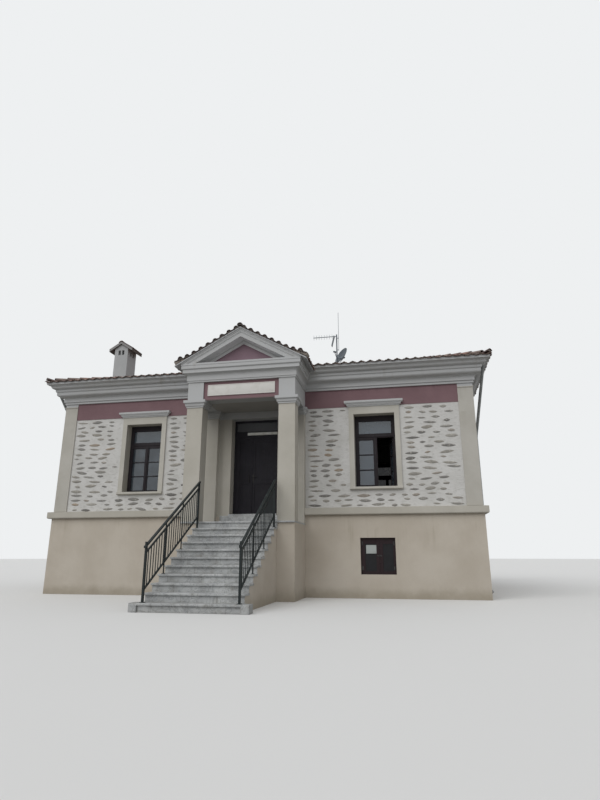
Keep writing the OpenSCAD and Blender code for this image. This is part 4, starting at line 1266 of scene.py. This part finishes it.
window = {
    "lightHalf": 0.20325,
    "lightX": 0.25075,
    "casement": (2.84, 4.086),
    "upper": (4.245, 4.606),
    "glassY": 0.31,
    "glassHalf": 0.003,
    "bar": 0.032,
    "barDepth": 0.036,
    "bead": 0.012,
    "beadProud": 0.002,
    "frameFace": 0.28,
    "strip": (0.02, 0.014, 0.03),  # half width, depth and reach past the panes
    "drip": (0.09, 0.045, 0.016, 0.03),  # foot and top under the upper light, depth, reach
    "inset": 0.004,
}

# The one casement that stands open, turned on its hinge edge
openSash = {
    "turn": 78.0,
    "jamb": 0.045,
    "stileHalf": 0.0475,
    "gap": 0.004,
    "hingeY": 0.34,
    "footZ": 2.814,
    "footRail": 0.03,
    "glassY": 0.021,
}


# Places of the windows, as turns and shifts of a window that stands in the front's plane
def windowPlaces():
    windowX = house["windowX"]
    places = [Matrix.Translation((x, 0, 0)) for x in (-windowX, windowX)]
    for x in (-windowX, 0.0, windowX):
        places.append(Matrix.Translation((x, house["depth"], 0)) @ Matrix.Rotation(math.pi, 4, "Z"))
    for side in (-1, 1):
        for y in house["sideWindows"]:
            shift = Matrix.Translation((side * house["halfFront"], y, 0))
            places.append(shift @ Matrix.Rotation(side * math.pi / 2, 4, "Z"))
    return places


# Bars across one light, and beads along its four edges on both faces of the glass
def addLightParts(bm, left, right, low, high, middle, levels, turn):
    half = window["barDepth"] / 2
    for level in levels:
        addBlock(bm, (left, middle - half, level - window["bar"] / 2),
                 (right, middle + half, level + window["bar"] / 2), 0.007, 2, turn)
    bead, glass = window["bead"], window["glassHalf"]
    for near, far in ((middle - half - window["beadProud"], middle - glass),
                      (middle + glass, middle + half)):
        for corner, opposite in (((left, near, low), (left + bead, far, high)),
                                 ((right - bead, near, low), (right, far, high)),
                                 ((left + bead, near, low), (right - bead, far, low + bead)),
                                 ((left + bead, near, high - bead), (right - bead, far, high))):
            addBlock(bm, corner, opposite, 0.004, 1, turn)


# Heights of the two bars that part a casement in three
def barLevels(foot, tall):
    return foot + tall / 3, foot + 2 * tall / 3


def makeWindowBars():
    low, high = window["casement"]
    levels = barLevels(low, high - low)
    middle = window["glassY"]
    reach = window["lightX"] + window["lightHalf"]
    front, inset = window["frameFace"], window["inset"]
    stripHalf, stripDepth, stripReach = window["strip"]
    dripFoot, dripTop, dripDepth, dripReach = window["drip"]
    upperFoot = window["upper"][0]
    for number, turn in enumerate(windowPlaces()):
        bm = bmesh.new()
        for side in (-1, 1):
            left = side * window["lightX"] - window["lightHalf"]
            right = side * window["lightX"] + window["lightHalf"]
            # The right casement of the second window is the open one
            if number != 1 or side < 0:
                addLightParts(bm, left, right, low, high, middle, levels, turn)
        addLightParts(bm, -reach, reach, *window["upper"], middle, (), turn)
        # The meeting strip of the two casements and the drip rail over them
        addBlock(bm, (-stripHalf, front - stripDepth, low - stripReach),
                 (stripHalf, front + inset, high + stripReach), 0.006, 2, turn)
        addBlock(bm, (-reach - dripReach, front - dripDepth, upperFoot - dripFoot),
                 (reach + dripReach, front + inset, upperFoot - dripTop), 0.007, 2, turn)
        keepPiece(bm, "windowBars" + str(number), "windowTimber", smooth=30.0)


def makeOpenSashBars():
    hinge = (house["windowX"] + house["windowHalf"] - openSash["jamb"], openSash["hingeY"],
             openSash["footZ"])
    turn = Matrix.Translation(hinge) @ turned(180 - openSash["turn"], "Z")
    width = house["windowHalf"] - openSash["jamb"] - openSash["stileHalf"] - openSash["gap"]
    edge = (width - 2 * window["lightHalf"]) / 2
    foot = openSash["footRail"]
    tall = window["casement"][1] - window["casement"][0]
    bm = bmesh.new()
    addLightParts(bm, edge, width - edge, foot, foot + tall, openSash["glassY"],
                  barLevels(foot, tall), turn)
    keepPiece(bm, "openSashBars", "windowTimber", smooth=30.0)


makeWindowBars()
makeOpenSashBars()
print("window bars made")

# Door: a handle on the right leaf, a strip over the joint and a pull on the left leaf

bite = 0.001  # how deep a fitting is let into what carries it

door = {"face": 0.335, "joint": -0.15, "leafFoot": 2.118, "leafTop": 4.264, "handleZ": 3.12}

handle = {
    "fromJoint": 0.055,
    "plateHalf": 0.022,
    "plateDown": 0.13,
    "plateUp": 0.11,
    "plateDepth": 0.006,
    "leverUp": 0.05,
    "leverBack": 0.01,
    "leverReach": 0.115,
    "leverHalf": 0.01,
    "leverOut": (0.06, 0.042),
    "spindleOut": 0.053,
    "spindle": 0.011,
    "keyDown": 0.06,
    "keyOut": 0.014,
    "key": 0.012,
}

meetingStrip = {"back": 0.002, "over": 0.034, "depth": 0.012, "clear": 0.01}

pull = {"fromJoint": 0.06, "half": 0.12, "feet": 0.09, "out": 0.045, "bar": 0.010, "foot": 0.008}


def makeHandle():
    x, y, z = door["joint"] + handle["fromJoint"], door["face"], door["handleZ"]
    half = handle["plateHalf"]
    lever, key = z + handle["leverUp"], z - handle["keyDown"]
    outer, inner = handle["leverOut"]
    bm = bmesh.new()
    addBlock(bm, (x - half, y - handle["plateDepth"], z - handle["plateDown"]),
             (x + half, y + bite, z + handle["plateUp"]), 0.003, 2)
    addBar(bm, (x, y - 0.003, lever), (x, y - handle["spindleOut"], lever), handle["spindle"])
    addBlock(bm, (x - handle["leverBack"], y - outer, lever - handle["leverHalf"]),
             (x + handle["leverReach"], y - inner, lever + handle["leverHalf"]), 0.006, 3)
    addBar(bm, (x, y - 0.002, key), (x, y - handle["keyOut"], key), handle["key"])
    keepPiece(bm, "rightLeafHandle", "handleBronze", body="right_leaf")


def makeMeetingStrip():
    strip, x, y = meetingStrip, door["joint"], door["face"]
    bm = bmesh.new()
    addBlock(bm, (x - strip["back"], y - strip["depth"], door["leafFoot"] + strip["clear"]),
             (x + strip["over"], y + bite, door["leafTop"] - strip["clear"]), 0.005, 3)
    keepPiece(bm, "meetingStrip", "doorTimber", body="right_leaf")


def makePull():
    x, y, z = door["joint"] - pull["fromJoint"], door["face"], door["handleZ"]
    out = y - pull["out"]
    bm = bmesh.new()
    for level in (z - pull["feet"], z + pull["feet"]):
        addBar(bm, (x, y + bite, level), (x, out, level), pull["foot"])
    addBar(bm, (x, out, z - pull["half"]), (x, out, z + pull["half"]), pull["bar"])
    keepPiece(bm, "leftLeafPull", "handleBronze", body="left_leaf")


makeHandle()
makeMeetingStrip()
makePull()

# Hatch: small hinges on the outer edges, a bolt over the joint and a bare notice

hatch = {
    "x": (2.89, 3.78),
    "joint": 3.369,
    "face": 0.06,
    "hingeIn": 0.045,
    "hingeZ": (0.72, 1.33),
    "hingeHalf": (0.02, 0.045),
    "hingeDepth": 0.004,
    "pinOut": 0.008,
    "pinHalf": 0.05,
    "pin": 0.008,
    "boltZ": (1.005, 1.04),
    "boltHalf": 0.06,
    "boltDepth": 0.005,
    "rodOut": 0.011,
    "rodEnds": (-0.075, 0.05),
    "rod": 0.008,
    "notice": ((3.03, 1.08), (3.29, 1.29)),
    "noticeDepth": 0.004,
}


def makeHatchFittings():
    bm = bmesh.new()
    face, joint = hatch["face"], hatch["joint"]
    half, tall = hatch["hingeHalf"]
    pinY, pinHalf = face - hatch["pinOut"], hatch["pinHalf"]
    for x in (hatch["x"][0] + hatch["hingeIn"], hatch["x"][1] - hatch["hingeIn"]):
        for level in hatch["hingeZ"]:
            addBlock(bm, (x - half, face - hatch["hingeDepth"], level - tall),
                     (x + half, face + bite, level + tall), 0.0015, 1)
            addBar(bm, (x, pinY, level - pinHalf), (x, pinY, level + pinHalf), hatch["pin"], 10)
    low, high = hatch["boltZ"]
    addBlock(bm, (joint - hatch["boltHalf"], face - hatch["boltDepth"], low),
             (joint + hatch["boltHalf"], face + bite, high), 0.002, 1)
    start, end = [(joint + x, face - hatch["rodOut"], (low + high) / 2) for x in hatch["rodEnds"]]
    addBar(bm, start, end, hatch["rod"])
    keepPiece(bm, "hatchIron", "hingeSteel")
    sheet = bmesh.new()
    low, high = hatch["notice"]
    addBlock(sheet, (low[0], face - hatch["noticeDepth"], low[1]), (high[0], face, high[1]),
             0.001, 1)
    keepPiece(sheet, "notice", "noticePaper")


makeHatchFittings()

# Name plate: bare, with a narrow raised edge and four fixing pins

plate = {
    "half": 0.915,
    "z": (5.09, 5.39),
    "back": -1.36,
    "depth": 0.018,
    "rim": 0.022,
    "rimDepth": 0.005,
    "bite": 0.002,
    "pinIn": (0.06, 0.05),
    "pin": 0.009,
}


def makePlate():
    bm = bmesh.new()
    low, high = plate["z"]
    half, back, rim = plate["half"], plate["back"], plate["rim"]
    front = back - plate["depth"]
    addBlock(bm, (-half, front, low), (half, back + plate["bite"], high), 0.003, 2)
    for corner, opposite in (((-half, low), (half, low + rim)), ((-half, high - rim), (half, high)),
                             ((-half, low + rim), (-half + rim, high - rim)),
                             ((half - rim, low + rim), (half, high - rim))):
        addBlock(bm, (corner[0], front - plate["rimDepth"], corner[1]),
                 (opposite[0], front + plate["bite"], opposite[1]), 0.002, 1)
    inX, inZ = plate["pinIn"]
    for x in (inX - half, half - inX):
        for z in (low + inZ, high - inZ):
            bmesh.ops.create_uvsphere(bm, u_segments=12, v_segments=8, radius=plate["pin"],
                                      matrix=Matrix.Translation((x, front, z)))
    keepPiece(bm, "namePlate", "plateStone")


makePlate()

# Railings: a bolted flange under every post, smaller under the thin stays

rails = {
    "x": 0.97,
    "front": -1.44,
    "upper": -1.51,
    "foot": -4.14,
    "stays": (3.5, 6.5),  # in treads from the stair's upper edge
    "flange": 0.045,
    "smallFlange": 0.028,
    "thick": 0.010,
    "boltShare": 0.68,
    "bolt": 0.005,
}


def makeRailingParts():
    bm = bmesh.new()
    feet = [(rails["upper"], rails["flange"]), (rails["foot"], rails["flange"])]
    for step in rails["stays"]:
        feet.append((rails["front"] - step * house["going"], rails["smallFlange"]))
    for x in (-rails["x"], rails["x"]):
        for y, half in feet:
            step = math.ceil((rails["front"] - y) / house["going"])
            level = house["porchFloor"] - step * house["riser"]
            top = level + rails["thick"]
            addBlock(bm, (x - half, y - half, level), (x + half, y + half, top), 0.003, 2)
            out = half * rails["boltShare"]
            for dx, dy in ((-out, -out), (-out, out), (out, -out), (out, out)):
                place = Matrix.Translation((x + dx, y + dy, top))
                bmesh.ops.create_uvsphere(bm, u_segments=8, v_segments=6, radius=rails["bolt"],
                                          matrix=place)
    keepPiece(bm, "railFlanges", "greenIron")


makeRailingParts()
print("door, hatch, plate and railing parts made")

bpy.context.scene.view_settings.view_transform = "Standard"
